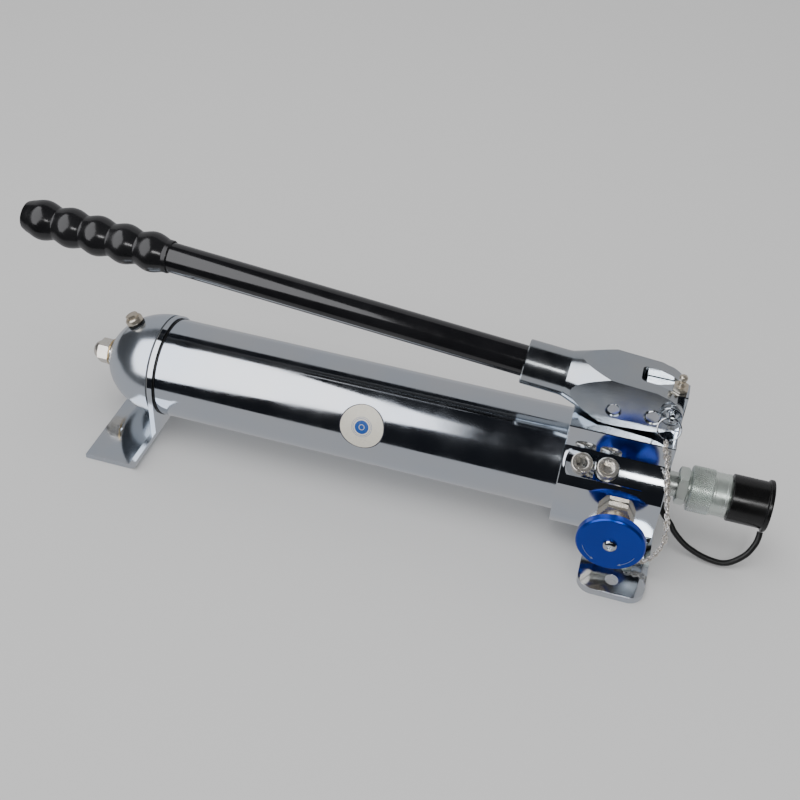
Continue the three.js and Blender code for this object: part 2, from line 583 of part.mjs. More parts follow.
// The chain is a plain cord of the chain's width; it hangs in front of the block to the base plate.
const CHAIN_ROUTE = [
  [13.4, -32.6, 112.8], [14.8, -33.6, 105.5], [17.6, -34.6, 97.7], [21, -38, 84.8], [24.6, -45.4, 71.2],
  [27.2, -48.4, 59.6], [29.6, -49, 46.3], [30.3, -50, 36.7], [29.3, -51, 29.7], [26.6, -52, 21],
  [21.5, -53.5, 14.6], [16, -55, 12.8], [11, -56, 12],
];
const STRAP_ROUTE = [
  [24.8, -7.9, 33.2], [25.4, -9.6, 29.4], [28.6, -12, 25], [34.7, -15.2, 20.6], [40, -18.9, 15.4],
  [50, -23, 9.2], [62.7, -25.5, 4.9], [74.7, -26.5, 3.4], [82.1, -25.9, 4.4], [88.7, -23.7, 8],
  [94.8, -20.3, 13.6], [98.6, -16, 20.4], [99.9, -12.4, 25.2], [100, -9.9, 28.9],
];

function cords() {
  piece(pump, 'pin_chain', swept(CHAIN_ROUTE, 2.3, 8, 24), CHROME);
  piece(pump, 'cap_strap', swept(STRAP_ROUTE, 2.3, 8, 26), RUBBER);
}

// ---- Release valve, about its own axis ----
function releaseValve() {
  const group = subassembly(VALVE_X, 0, AXIS_Z);
  const face = BLOCK_FLAT + GAP;
  let nut = hexBar(ORIGIN, FRONT, face, face + 8, SMALL);
  nut = nut.add(rod(ORIGIN, FRONT, 27, face + 1, 8)).add(rod(ORIGIN, FRONT, face + 7, face + 12, 9));
  nut = nut.subtract(drill(ORIGIN, FRONT, 20, 70, SPINDLE_RADIUS + GAP));
  nut = nut.subtract(drill(ORIGIN, FRONT, face + 9, face + 13, 6.5));
  piece(group, 'valve_gland_nut', nut, NICKEL);
  const seal = tube(ORIGIN, FRONT, face + 9.3, face + 11.7, SPINDLE_RADIUS + GAP, 6.2, SMALL);
  piece(group, 'valve_seal', seal, RUBBER);
  const seat = 8 + GAP + Math.sqrt(BALL_RADIUS ** 2 - 4);
  piece(group, 'release_ball', ball(at(0, -seat, 0), BALL_RADIUS), SATIN_STEEL);
  const tip = seat + BALL_RADIUS + GAP;
  const spindleEnd = KNOB_FACE - 4.3;
  const spindleProfile = [[tip, 0], [tip, 2.4], [tip + 2, SPINDLE_RADIUS], [spindleEnd, SPINDLE_RADIUS],
    [spindleEnd, 0]];
  piece(group, 'release_spindle', turned(ORIGIN, FRONT, spindleProfile, SMALL), SATIN_STEEL);
  const knobBore = SPINDLE_RADIUS + GAP;
  const rim = KNOB_RADIUS - 0.9;
  const knobProfile = [[66, knobBore], [66, 8], [KNOB_BACK, 9], [KNOB_BACK, rim], [KNOB_BACK + 0.9, KNOB_RADIUS],
    [KNOB_FACE - 0.9, KNOB_RADIUS], [KNOB_FACE, rim], [KNOB_FACE, 3], [KNOB_FACE - 4, 3],
    [KNOB_FACE - 4, knobBore]];
  piece(group, 'release_knob', turned(ORIGIN, FRONT, knobProfile, FINE), BLUE_ANODISED);
  const seatFace = KNOB_FACE + GAP;
  const screwProfile = [[spindleEnd + GAP, 0], [spindleEnd + GAP, 2.7], [seatFace, 2.7], [seatFace, 5.2],
    [seatFace + 1.4, 4.6], [seatFace + 2.4, 3.2], [seatFace + 2.4, 0]];
  const socket = drill(ORIGIN, FRONT, seatFace + 0.6, seatFace + 4, 1.9, 6);
  piece(group, 'knob_screw', turned(ORIGIN, FRONT, screwProfile, SMALL).subtract(socket), CHROME);
}

// ---- Outlet coupler, about its own axis, from the block's face ----
function coupler() {
  const group = subassembly(BLOCK_RIGHT, 0, AXIS_Z);
  const profile = [[-13, 3], [-13, 9.4], [18, 9.4], [18, 12.1], [46.8, 12.1], [46.8, 10.9], [48.6, 10.9],
    [48.6, 12.1], [66, 12.1], [66, 9.5], [26, 9.5], [26, 3]];
  const hex = hexBar(ORIGIN, X, 10.3, 18.4, 26).subtract(drill(ORIGIN, X, 9, 20, 9));
  piece(group, 'coupler_body', turned(ORIGIN, X, profile, MEDIUM).add(hex), ZINC);
  piece(group, 'strap_ring', tube(ORIGIN, X, 0.4, 2.8, 9.4 + GAP, 15.8, MEDIUM), RUBBER);
  const sleeve = [[19.6, 12.4], [19.6, 16.9], [20.4, 17.7], [36.2, 17.7], [36.6, 17.3], [36.6, 16.8],
    [48.2, 16.8], [48.8, 16.2], [48.8, 14], [46.8, 14], [46.8, 12.4]];
  piece(group, 'coupler_sleeve', turned(ORIGIN, X, sleeve, FINE), ZINC);
  piece(group, 'sleeve_snap_ring', tube(ORIGIN, X, 47.1, 48.3, 11.2, 13.7, MEDIUM), SATIN_STEEL);
  const poppet = [[52, 0], [52, 9.2], [59.5, 9.2], [61, 4], [64.5, 4], [65.3, 3], [65.3, 0]];
  piece(group, 'coupler_poppet', turned(ORIGIN, X, poppet, SMALL), SATIN_STEEL);
  piece(group, 'coupler_seal', tube(ORIGIN, X, 61.4, 64.4, 5, 9.2, SMALL), RUBBER);
  piece(group, 'poppet_spring', coil(at(27.2, 0, 0), X, 23.8, 6.6, 0.7, 6), SATIN_STEEL);
  const cap = [[50, 12.4], [72, 12.4], [72, 0], [79.7, 0], [79.7, 19.3], [79.2, 19.9], [76.8, 19.9],
    [76.3, 19.4], [76.3, 18.1], [50.5, 18.1], [50, 17.6], [50, 12.4]];
  piece(group, 'dust_cap', turned(ORIGIN, X, cap, FINE), BLACK_PLASTIC);
}

// A thin round emblem plate that follows the reservoir tube.
function roundLabel() {
  const middle = at(-207.7, 0, AXIS_Z);
  const tilt = Math.atan2(16.5, 36.5);
  const normal = at(0, -Math.cos(tilt), Math.sin(tilt));
  const skin = tube(middle, X, -20, 20, TANK_RADIUS + GAP, TANK_RADIUS + 2 * GAP, FINE);
  piece(pump, 'round_label', skin.intersect(rod(middle, normal, 20, 60, 17.9, MEDIUM)), PAPER);
}

reservoir();
rearFoot();
basePlate();
pumpBlock();
blockValves();
plungerAssembly();
handle();
greaseNipple();
lockPin();
cords();
releaseValve();
coupler();
roundLabel();

export default pump;
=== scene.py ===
"""Hydraulic hand pump: fine surfaces, finishes, chain, strap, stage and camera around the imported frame."""

import math

import bmesh
import bpy
from bpy.props import FloatProperty, FloatVectorProperty, IntProperty, PointerProperty
from mathutils import Matrix, Vector


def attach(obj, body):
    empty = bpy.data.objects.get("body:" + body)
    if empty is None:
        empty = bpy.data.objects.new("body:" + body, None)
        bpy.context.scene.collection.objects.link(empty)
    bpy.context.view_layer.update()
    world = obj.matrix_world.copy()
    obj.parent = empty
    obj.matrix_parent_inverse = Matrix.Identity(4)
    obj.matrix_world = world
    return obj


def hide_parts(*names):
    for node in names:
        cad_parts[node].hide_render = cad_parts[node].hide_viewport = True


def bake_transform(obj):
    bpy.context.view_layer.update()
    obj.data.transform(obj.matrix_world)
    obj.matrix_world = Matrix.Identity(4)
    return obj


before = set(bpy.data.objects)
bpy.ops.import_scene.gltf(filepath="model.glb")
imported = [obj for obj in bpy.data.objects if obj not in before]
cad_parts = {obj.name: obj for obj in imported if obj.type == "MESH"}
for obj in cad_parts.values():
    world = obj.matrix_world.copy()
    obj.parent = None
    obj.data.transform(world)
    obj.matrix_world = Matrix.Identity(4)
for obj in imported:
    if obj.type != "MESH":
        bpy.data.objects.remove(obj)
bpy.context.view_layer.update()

bl_info = {
    "name": "Hydraulic Hand Pump",
    "version": (1, 0, 0),
    "blender": (4, 5, 0),
    "location": "View3D > Sidebar > Pump",
    "description": "Builds the surfaces and finishes of a hydraulic hand pump",
    "category": "Object",
}

MM = 0.001
X = Vector((1, 0, 0))
Y = Vector((0, 1, 0))
Z = Vector((0, 0, 1))
FRONT = -Y

# Shared places, in millimetres, in the pump's own frame.
AXIS_Z = 47.5
AXIS = Vector((0, 0, AXIS_Z))
TANK_RADIUS = 40.0
DOME_RADIUS, DOME_DEPTH = 42.0, 50.0
BLOCK_LEFT, BLOCK_RIGHT = -55.0, 22.0
BLOCK_RADIUS = 48.5
SEAM = -385.0
HANDLE_Z = 123.9
HANDLE_SLOPE = math.atan(0.086)
HANDLE_AXIS = Vector((math.cos(HANDLE_SLOPE), 0, -math.sin(HANDLE_SLOPE)))
HANDLE_ORIGIN = Vector((0, 0, HANDLE_Z))
FULCRUM = Vector((0.9, 0, 121.9))
CRANK = Vector((-27.0, 0, 120.3))
LOCK = Vector((13.2, 0, 129.5))
EYE = Vector((13.2, -23.8, 129.3))
PLUNGER = Vector((-24.25, 0, 0))
GREASE = Vector((15.2, 0, 0))
VALVE = Vector((-8.0, 0, AXIS_Z))
OUTLET = Vector((BLOCK_RIGHT, 0, AXIS_Z))
SCREW_OUT = Vector((0, -math.cos(math.radians(60)), math.sin(math.radians(60))))
SCREW_HEADS = [Vector((-40.2, -38.8, 83.0)), Vector((-21.4, -38.4, 83.5))]
BASE_SCREWS = [Vector((x, y, 0)) for x in (-15, 12) for y in (-15, 15)]
GAP = 0.3


# ---- Sizes and colours a user would change ----


class PumpSizes(bpy.types.PropertyGroup):
    """Sizes of the repeated and visible details."""

    edge: FloatProperty(
        name="Edge", description="Rounding of machined edges", default=0.0006, unit="LENGTH"
    )
    link_pitch: FloatProperty(
        name="Link Pitch",
        description="Distance between chain links",
        default=0.0029,
        unit="LENGTH",
    )
    link_wire: FloatProperty(
        name="Link Wire", description="Wire radius of a chain link", default=0.00072, unit="LENGTH"
    )
    strap_radius: FloatProperty(
        name="Strap Radius", description="Radius of the cap's strap", default=0.0023, unit="LENGTH"
    )
    knurl_around: IntProperty(
        name="Knurls Around", description="Knurl points round the sleeve", default=60, min=12
    )
    knurl_rows: IntProperty(
        name="Knurl Rows", description="Rows of knurl points along the sleeve", default=12, min=2
    )


class PumpColours(bpy.types.PropertyGroup):
    """Base colours of the finishes."""

    chrome: FloatVectorProperty(
        name="Chrome", description="Plated steel", subtype="COLOR", default=(0.70, 0.72, 0.74)
    )
    satin: FloatVectorProperty(
        name="Satin Steel", description="Fork head", subtype="COLOR", default=(0.60, 0.62, 0.63)
    )
    zinc: FloatVectorProperty(
        name="Zinc", description="Coupler plating", subtype="COLOR", default=(0.76, 0.79, 0.75)
    )
    nickel: FloatVectorProperty(
        name="Nickel",
        description="Warm plated fittings",
        subtype="COLOR",
        default=(0.62, 0.58, 0.50),
    )
    knob: FloatVectorProperty(
        name="Knob",
        description="Anodised release knob",
        subtype="COLOR",
        default=(0.002, 0.042, 0.40),
    )
    enamel: FloatVectorProperty(
        name="Enamel", description="Handle tube", subtype="COLOR", default=(0.006, 0.006, 0.007)
    )
    paper: FloatVectorProperty(
        name="Emblem", description="Emblem plate", subtype="COLOR", default=(0.72, 0.69, 0.60)
    )


def sizes():
    return bpy.context.scene.pump_sizes


def colours():
    return bpy.context.scene.pump_colours


# ---- Mesh helpers ----


def filleted(profile, size, steps=3):
    """The profile with its corners rounded; a profile that starts off the axis is a closed loop."""
    points = [Vector(p) for p in profile]
    closed = profile[0][1] > 0
    count = len(points)
    out = []
    for i, here in enumerate(points):
        if not closed and i in (0, count - 1):
            out.append(here)
            continue
        before = points[i - 1]
        after = points[(i + 1) % count]
        to_before, to_after = before - here, after - here
        if to_before.length < 1e-6 or to_after.length < 1e-6:
            continue
        bend = to_before.angle(to_after)
        if bend > math.radians(165):
            out.append(here)
            continue
        cut = min(size, 0.45 * to_before.length, 0.45 * to_after.length)
        start = here + to_before.normalized() * cut
        end = here + to_after.normalized() * cut
        for k in range(steps + 1):
            t = k / steps
            out.append((1 - t) ** 2 * start + 2 * t * (1 - t) * here + t * t * end)
    return [tuple(p) for p in out]


def across(axis):
    side = axis.cross(Z if abs(axis.z) < 0.9 else X).normalized()
    return side, axis.cross(side).normalized()


def bridge(bm, low, high):
    """Faces between two rings of points; either ring may be a single point."""
    count = max(len(low), len(high))
    for k in range(count):
        nxt = (k + 1) % count
        corners = [low[k % len(low)], low[nxt % len(low)]]
        corners += [high[nxt % len(high)], high[k % len(high)]]
        bm.faces.new(list(dict.fromkeys(corners)))


def turned(profile, origin, axis, segments=96, edge=0.4):
    """A turned body in a bmesh; the profile is (distance along the axis, radius) in millimetres."""
    bm = bmesh.new()
    if edge:
        profile = filleted(profile, edge)
    side, up = across(axis)
    rings = []
    for along, radius in profile:
        centre = origin + axis * along
        if radius < 1e-6:
            rings.append([bm.verts.new(centre * MM)])
            continue
        ring = []
        for k in range(segments):
            angle = 2 * math.pi * k / segments
            offset = side * math.cos(angle) + up * math.sin(angle)
            ring.append(bm.verts.new((centre + offset * radius) * MM))
        rings.append(ring)
    pairs = list(zip(rings, rings[1:]))
    if profile[0][1] > 1e-6:
        pairs.append((rings[-1], rings[0]))
    for low, high in pairs:
        if len(low) > 1 or len(high) > 1:
            bridge(bm, low, high)
    bmesh.ops.recalc_face_normals(bm, faces=bm.faces)
    return bm


def rod(origin, axis, start, end, radius, segments=64):
    """A plain cylinder, or a bar with as many sides as it has segments."""
    return turned([(start, 0), (start, radius), (end, radius), (end, 0)], origin, axis, segments, 0)


def prism(points, place, low, high):
    """An outline extruded between low and high; place turns (a, b, depth) into a point."""
    bm = bmesh.new()
    ends = []
    for depth in (low, high):
        ends.append([bm.verts.new(Vector(place(a, b, depth)) * MM) for a, b in points])
    bm.faces.new(ends[0])
    bm.faces.new(list(reversed(ends[1])))
    for k in range(len(points)):
        nxt = (k + 1) % len(points)
        bm.faces.new([ends[0][k], ends[1][k], ends[1][nxt], ends[0][nxt]])
    bmesh.ops.recalc_face_normals(bm, faces=bm.faces)
    return bm


def along_x(a, b, depth):
    return (depth, a, b)


def along_y(a, b, depth):
    return (a, depth, b)


def along_z(a, b, depth):
    return (a, b, depth)


def arc(centre, radius, start, end, steps):
    """Points on an arc, with angles in degrees."""
    out = []
    for k in range(steps + 1):
        angle = math.radians(start + (end - start) * k / steps)
        out.append((centre[0] + radius * math.cos(angle), centre[1] + radius * math.sin(angle)))
    return out


def rectangle(a0, a1, b0, b1):
    return [(a0, b0), (a1, b0), (a1, b1), (a0, b1)]


def as_object(name, bm):
    mesh = bpy.data.meshes.new(name)
    bm.to_mesh(mesh)
    bm.free()
    obj = bpy.data.objects.new(name, mesh)
    bpy.context.scene.collection.objects.link(obj)
    return obj


def bake(obj):
    """Turn the modifiers' result into a plain mesh and clear the modifiers."""
    bpy.context.view_layer.update()
    graph = bpy.context.evaluated_depsgraph_get()
    mesh = bpy.data.meshes.new_from_object(obj.evaluated_get(graph), depsgraph=graph)
    obj.modifiers.clear()
    old = obj.data
    obj.data = mesh
    bpy.data.meshes.remove(old)
    mesh.name = obj.name
    return obj


def combine(obj, tools, operation="DIFFERENCE"):
    """Cut or join bmesh tools with the object, one after the other."""
    for k, bm in enumerate(tools):
        tool = as_object(f"tool_{k}", bm)
        modifier = obj.modifiers.new("cut", "BOOLEAN")
        modifier.operation = operation
        modifier.solver = "EXACT"
        modifier.object = tool
        bake(obj)
        bpy.data.objects.remove(tool)
    return obj


def taken(obj):
    """The object's mesh as a bmesh, with the object removed."""
    bm = bmesh.new()
    bm.from_mesh(obj.data)
    bpy.data.objects.remove(obj)
    return bm


def soften(obj, width=None, angle=35):
    """Break the sharp edges; the width is in metres."""
    modifier = obj.modifiers.new("edge", "BEVEL")
    modifier.width = sizes().edge if width is None else width
    modifier.limit_method = "ANGLE"
    modifier.angle_limit = math.radians(angle)
    modifier.use_clamp_overlap = True
    return bake(obj)


def cleaned(obj):
    """Merge doubled points and drop faces with no area."""
    bm = bmesh.new()
    bm.from_mesh(obj.data)
    bmesh.ops.remove_doubles(bm, verts=bm.verts, dist=2e-6)
    bmesh.ops.dissolve_degenerate(bm, edges=bm.edges, dist=2e-6)
    bmesh.ops.recalc_face_normals(bm, faces=bm.faces)
    bm.to_mesh(obj.data)
    bm.free()


def piece(obj, body, material, nodes=(), angle=32):
    """Shade a finished mesh, give it its finish and hand it to its body."""
    cleaned(obj)
    mesh = obj.data
    mesh.materials.clear()
    mesh.materials.append(material)
    for polygon in mesh.polygons:
        polygon.use_smooth = True
        polygon.material_index = 0
    mesh.set_sharp_from_angle(angle=math.radians(angle))
    modifier = obj.modifiers.new("normals", "WEIGHTED_NORMAL")
    modifier.keep_sharp = True
    modifier.weight = 90
    bake(obj)
    if body:
        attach(obj, body)
    if nodes:
        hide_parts(*nodes)
    return obj


def turned_piece(name, profile, line, body, material, nodes, segments=96, edge=0.4):
    """A turned piece about line, which is an origin and an axis."""
    obj = as_object(name, turned(profile, *line, segments, edge))
    return piece(obj, body, material, nodes)


def hexagon(name, origin, axis, start, end, flats):
    """A hexagonal bar whose corners are turned down at both ends."""
    corner = flats / math.sqrt(3)
    flat = flats / 2
    fade = (corner - flat) * 0.58
    obj = as_object(name, rod(origin, axis, start, end, corner, 6))
    ends = [(start, 0), (start, flat * 0.97), (start + fade, corner + 0.2)]
    ends += [(end - fade, corner + 0.2), (end, flat * 0.97), (end, 0)]
    return combine(obj, [turned(ends, origin, axis, 96, 0)], "INTERSECT")


# ---- Finishes ----


class Shader:
    """A small builder for one procedural material on Object coordinates."""

    def __init__(self, name):
        self.material = bpy.data.materials.new(name)
        self.material.use_nodes = True
        self.nodes = self.material.node_tree.nodes
        self.links = self.material.node_tree.links
        self.surface = self.nodes["Principled BSDF"]
        self.place = self.nodes.new("ShaderNodeTexCoord").outputs["Object"]

    def add(self, kind, settings=None, **inputs):
        node = self.nodes.new(kind)
        for key, value in (settings or {}).items():
            setattr(node, key, value)
        for key, value in inputs.items():
            self.feed(node.inputs[key.replace("_", " ")], value)
        return node

    def feed(self, socket, value):
        if isinstance(value, bpy.types.NodeSocket):
            self.links.new(value, socket)
        else:
            socket.default_value = value

    def noise(self, scale, detail=3.0):
        node = self.add("ShaderNodeTexNoise", Vector=self.place, Scale=scale, Detail=detail)
        return node.outputs["Fac"]

    def ranged(self, value, low, high, start=0.3, end=0.7):
        node = self.add("ShaderNodeMapRange", Value=value)
        node.inputs["From Min"].default_value = start
        node.inputs["From Max"].default_value = end
        node.inputs["To Min"].default_value = low
        node.inputs["To Max"].default_value = high
        return node.outputs["Result"]

    def blend(self, factor, first, second):
        node = self.nodes.new("ShaderNodeMix")
        node.data_type = "RGBA"
        self.feed(node.inputs[0], factor)
        self.feed(node.inputs[6], (*first, 1))
        self.feed(node.inputs[7], (*second, 1))
        return node.outputs[2]

    def bump(self, height, strength, distance=0.0002):
        node = self.add("ShaderNodeBump", Height=height, Strength=strength, Distance=distance)
        self.links.new(node.outputs["Normal"], self.surface.inputs["Normal"])


def tinted(colour, tint):
    return tuple(min(1.0, c * t) for c, t in zip(colour, tint))


def plated(name, colour, low, high, haze=22.0, tint=(0.90, 0.96, 1.04), metallic=1.0, grain=0.04):
    """Plated or polished metal: cloudy tint, uneven gloss and a faint surface ripple."""
    shader = Shader(name)
    cloud = shader.noise(haze, 4.0)
    base = shader.blend(shader.ranged(cloud, 0, 1), colour, tinted(colour, tint))
    shader.feed(shader.surface.inputs["Base Color"], base)
    shader.surface.inputs["Metallic"].default_value = metallic
    gloss = shader.noise(haze * 2.3, 5.0)
    shader.feed(shader.surface.inputs["Roughness"], shader.ranged(gloss, low, high))
    shader.bump(shader.noise(900.0, 3.0), grain)
    return shader.material


def moulded(name, colour, low, high, scale=700.0, strength=0.12, coat=0.0):
    """Plastic, rubber or enamel: fine grain and uneven sheen."""
    shader = Shader(name)
    cloud = shader.noise(35.0, 4.0)
    lighter = tuple(c * 1.8 + 0.002 for c in colour)
    base = shader.blend(shader.ranged(cloud, 0, 0.6), colour, lighter)
    shader.feed(shader.surface.inputs["Base Color"], base)
    sheen = shader.ranged(shader.noise(90.0, 4.0), low, high)
    shader.feed(shader.surface.inputs["Roughness"], sheen)
    shader.surface.inputs["Coat Weight"].default_value = coat
    shader.surface.inputs["Coat Roughness"].default_value = 0.05
    shader.bump(shader.noise(scale, 3.0), strength)
    return shader.material


def anodised(name, colour, centre):
    """Anodised aluminium with turning rings round the knob's axis."""
    shader = Shader(name)
    mapping = shader.add("ShaderNodeMapping", Vector=shader.place)
    mapping.inputs["Location"].default_value = tuple(-c * MM for c in centre)
    rings = shader.add(
        "ShaderNodeTexWave",
        {"wave_type": "RINGS", "rings_direction": "Y"},
        Vector=mapping.outputs["Vector"],
        Scale=900.0,
        Distortion=0.6,
    ).outputs["Fac"]
    brighter = tinted(colour, (1.25, 1.25, 1.25))
    base = shader.blend(shader.ranged(shader.noise(25.0), 0, 1), colour, brighter)
    shader.feed(shader.surface.inputs["Base Color"], base)
    shader.surface.inputs["Metallic"].default_value = 0.85
    shader.feed(shader.surface.inputs["Roughness"], shader.ranged(rings, 0.24, 0.34, 0, 1))
    shader.surface.inputs["Coat Weight"].default_value = 0.35
    shader.surface.inputs["Coat Roughness"].default_value = 0.12
    shader.bump(rings, 0.03)
    return shader.material


def emblem(name, paper, centre, normal):
    """A plain round badge: border, ring and a blue centre disc."""
    shader = Shader(name)
    shift = shader.add("ShaderNodeVectorMath", {"operation": "SUBTRACT"})
    shader.feed(shift.inputs[0], shader.place)
    shift.inputs[1].default_value = tuple(c * MM for c in centre)
    across_it = shader.add("ShaderNodeVectorMath", {"operation": "CROSS_PRODUCT"})
    shader.feed(across_it.inputs[0], shift.outputs["Vector"])
    across_it.inputs[1].default_value = tuple(normal)
    size = shader.add("ShaderNodeVectorMath", {"operation": "LENGTH"})
    shader.feed(size.inputs[0], across_it.outputs["Vector"])
    radius = shader.ranged(size.outputs["Value"], 0, 1, 0, 20 * MM)
    ramp = shader.nodes.new("ShaderNodeValToRGB")
    ramp.color_ramp.interpolation = "CONSTANT"
    blue = (0.02, 0.09, 0.36, 1)
    dark = (0.03, 0.03, 0.05, 1)
    cream = (*paper, 1)
    bands = [(0, blue), (0.09, cream), (0.11, blue), (0.27, cream), (0.33, blue)]
    bands += [(0.345, cream), (0.39, blue), (0.40, cream), (0.855, dark)]
    ramp.color_ramp.elements[0].color = bands[0][1]
    ramp.color_ramp.elements.remove(ramp.color_ramp.elements[1])
    for position, colour in bands[1:]:
        ramp.color_ramp.elements.new(position).color = colour
    shader.feed(ramp.inputs["Fac"], radius)
    shader.feed(shader.surface.inputs["Base Color"], ramp.outputs["Color"])
    shader.feed(shader.surface.inputs["Roughness"], shader.ranged(shader.noise(200.0), 0.22, 0.34))
    shader.bump(shader.noise(1200.0), 0.03)
    return shader.material


FINISH = {}


def make_finishes():
    tint = colours()
    chrome, warm = tuple(tint.chrome), (1.05, 1.0, 0.93)
    metals = (
        ("chrome", "polished_chrome", chrome, 0.045, 0.13, {}),
        ("tank_chrome", "tank_chrome", chrome, 0.05, 0.16, {"haze": 14.0}),
        ("dome", "dome_chrome", chrome, 0.12, 0.26, {"haze": 14.0, "metallic": 0.93}),
        ("satin", "satin_steel", tuple(tint.satin), 0.13, 0.24, {"haze": 30.0}),
        ("zinc", "clear_zinc", tuple(tint.zinc), 0.24, 0.42,
         {"haze": 60.0, "tint": (0.92, 1.0, 0.97), "grain": 0.1, "metallic": 0.8}),
        ("chain", "chain_plating", (0.84, 0.82, 0.79), 0.18, 0.3,
         {"haze": 200.0, "tint": warm, "metallic": 0.8}),
        ("screw", "screw_plating", (0.84, 0.82, 0.78), 0.16, 0.28,
         {"haze": 90.0, "tint": warm, "metallic": 0.88}),
        ("nickel", "warm_nickel", tuple(tint.nickel), 0.14, 0.3,
         {"haze": 50.0, "tint": (1.1, 1.0, 0.9), "metallic": 0.8}),
        ("brass", "sintered_brass", (0.55, 0.40, 0.20), 0.35, 0.6, {"haze": 300.0, "grain": 0.5}),
        ("mark", "engraved_mark", (0.45, 0.55, 0.75), 0.4, 0.5, {"grain": 0.02}),
    )
    for key, name, colour, low, high, extra in metals:
        FINISH[key] = plated(name, colour, low, high, **extra)
    FINISH["fibre"] = moulded("gasket_fibre", (0.20, 0.20, 0.20), 0.5, 0.7)
    FINISH["enamel"] = moulded("handle_enamel", tuple(tint.enamel), 0.09, 0.16, 400.0, 0.02, 0.6)
    FINISH["grip"] = moulded("grip_plastic", (0.008, 0.008, 0.009), 0.16, 0.26, 600.0, 0.05, 0.2)
    FINISH["cap"] = moulded("cap_plastic", (0.004, 0.004, 0.004), 0.22, 0.32)
    FINISH["rubber"] = moulded("black_rubber", (0.006, 0.006, 0.006), 0.28, 0.42)
    FINISH["knob"] = anodised("blue_anodised", tuple(tint.knob), VALVE)


# ---- Geometry Nodes ----


class Tree:
    """A small builder for one geometry node tree with named inputs."""

    KINDS = {
        "float": "NodeSocketFloat",
        "int": "NodeSocketInt",
        "material": "NodeSocketMaterial",
        "object": "NodeSocketObject",
    }

    def __init__(self, name, inputs):
        self.group = bpy.data.node_groups.new(name, "GeometryNodeTree")
        face = self.group.interface
        face.new_socket("Geometry", in_out="INPUT", socket_type="NodeSocketGeometry")
        for label, kind in inputs:
            face.new_socket(label, in_out="INPUT", socket_type=self.KINDS[kind])
        face.new_socket("Geometry", in_out="OUTPUT", socket_type="NodeSocketGeometry")
        self.given = self.group.nodes.new("NodeGroupInput").outputs
        self.end = self.group.nodes.new("NodeGroupOutput")

    def add(self, kind, settings=None, inputs=None):
        node = self.group.nodes.new(kind)
        for key, value in (settings or {}).items():
            setattr(node, key, value)
        for key, value in (inputs or {}).items():
            socket = node.inputs[key]
            if isinstance(value, bpy.types.NodeSocket):
                self.group.links.new(value, socket)
            else:
                socket.default_value = value
        return node

    def maths(self, operation, first, second=0.0):
        return self.add("ShaderNodeMath", {"operation": operation}, {0: first, 1: second}).outputs[0]

    def close(self, geometry):
        real = self.add("GeometryNodeRealizeInstances", None, {"Geometry": geometry}).outputs[0]
        inputs = {"Geometry": real, "Material": self.given["Material"]}
        painted = self.add("GeometryNodeSetMaterial", None, inputs).outputs[0]
        self.group.links.new(painted, self.end.inputs[0])
        return self.group


def grown(name, bm, tree, values):
    """Run a node tree on a base mesh and keep the result as a plain mesh."""
    obj = as_object(name, bm)
    modifier = obj.modifiers.new("rule", "NODES")
    modifier.node_group = tree
    for item in tree.interface.items_tree:
        if item.in_out == "INPUT" and item.name in values:
            modifier[item.identifier] = values[item.name]
    return bake(obj)


def chain_tree():
    """Links along a path, leaning 25 degrees to one side and the other in turn."""
    inputs = [("Pitch", "float"), ("Wire", "float"), ("Half Width", "float"), ("Half Length", "float")]
    tree = Tree("curb_chain", inputs + [("Material", "material")])
    given = tree.given
    path = tree.add("GeometryNodeMeshToCurve", None, {"Mesh": given["Geometry"]}).outputs[0]
    inputs = {"Curve": path, "Length": given["Pitch"]}
    points = tree.add("GeometryNodeCurveToPoints", {"mode": "LENGTH"}, inputs)
    inputs = {"Resolution": 14, "Radius": 1.0}
    ring = tree.add("GeometryNodeCurvePrimitiveCircle", None, inputs).outputs[0]
    inputs = {0: given["Half Width"], 1: given["Half Length"], 2: 1.0}
    scale = tree.add("ShaderNodeCombineXYZ", None, inputs).outputs[0]
    oval = tree.add("GeometryNodeTransform", None, {"Geometry": ring, "Scale": scale}).outputs[0]
    inputs = {"Geometry": oval, "Rotation": (math.pi / 2, 0, 0)}
    stand = tree.add("GeometryNodeTransform", None, inputs).outputs[0]
    inputs = {"Resolution": 6, "Radius": given["Wire"]}
    wire = tree.add("GeometryNodeCurvePrimitiveCircle", None, inputs).outputs[0]
    link = tree.add("GeometryNodeCurveToMesh", None, {"Curve": stand, "Profile Curve": wire}).outputs[0]
    inputs = {"Vector": points.outputs["Tangent"]}
    aimed = tree.add("FunctionNodeAlignRotationToVector", {"axis": "Z"}, inputs).outputs[0]
    index = tree.add("GeometryNodeInputIndex").outputs[0]
    odd = tree.maths("MODULO", index, 2.0)
    angle = tree.maths("ADD", tree.maths("MULTIPLY", odd, math.radians(50)), math.radians(-25))
    inputs = {"Axis": (0, 0, 1), "Angle": angle}
    spin = tree.add("FunctionNodeAxisAngleToRotation", None, inputs).outputs[0]
    inputs = {"Rotation": aimed, "Rotate By": spin}
    spun = tree.add("FunctionNodeRotateRotation", {"rotation_space": "LOCAL"}, inputs).outputs[0]
    inputs = {"Points": points.outputs["Points"], "Instance": link, "Rotation": spun}
    return tree.close(tree.add("GeometryNodeInstanceOnPoints", None, inputs).outputs[0])


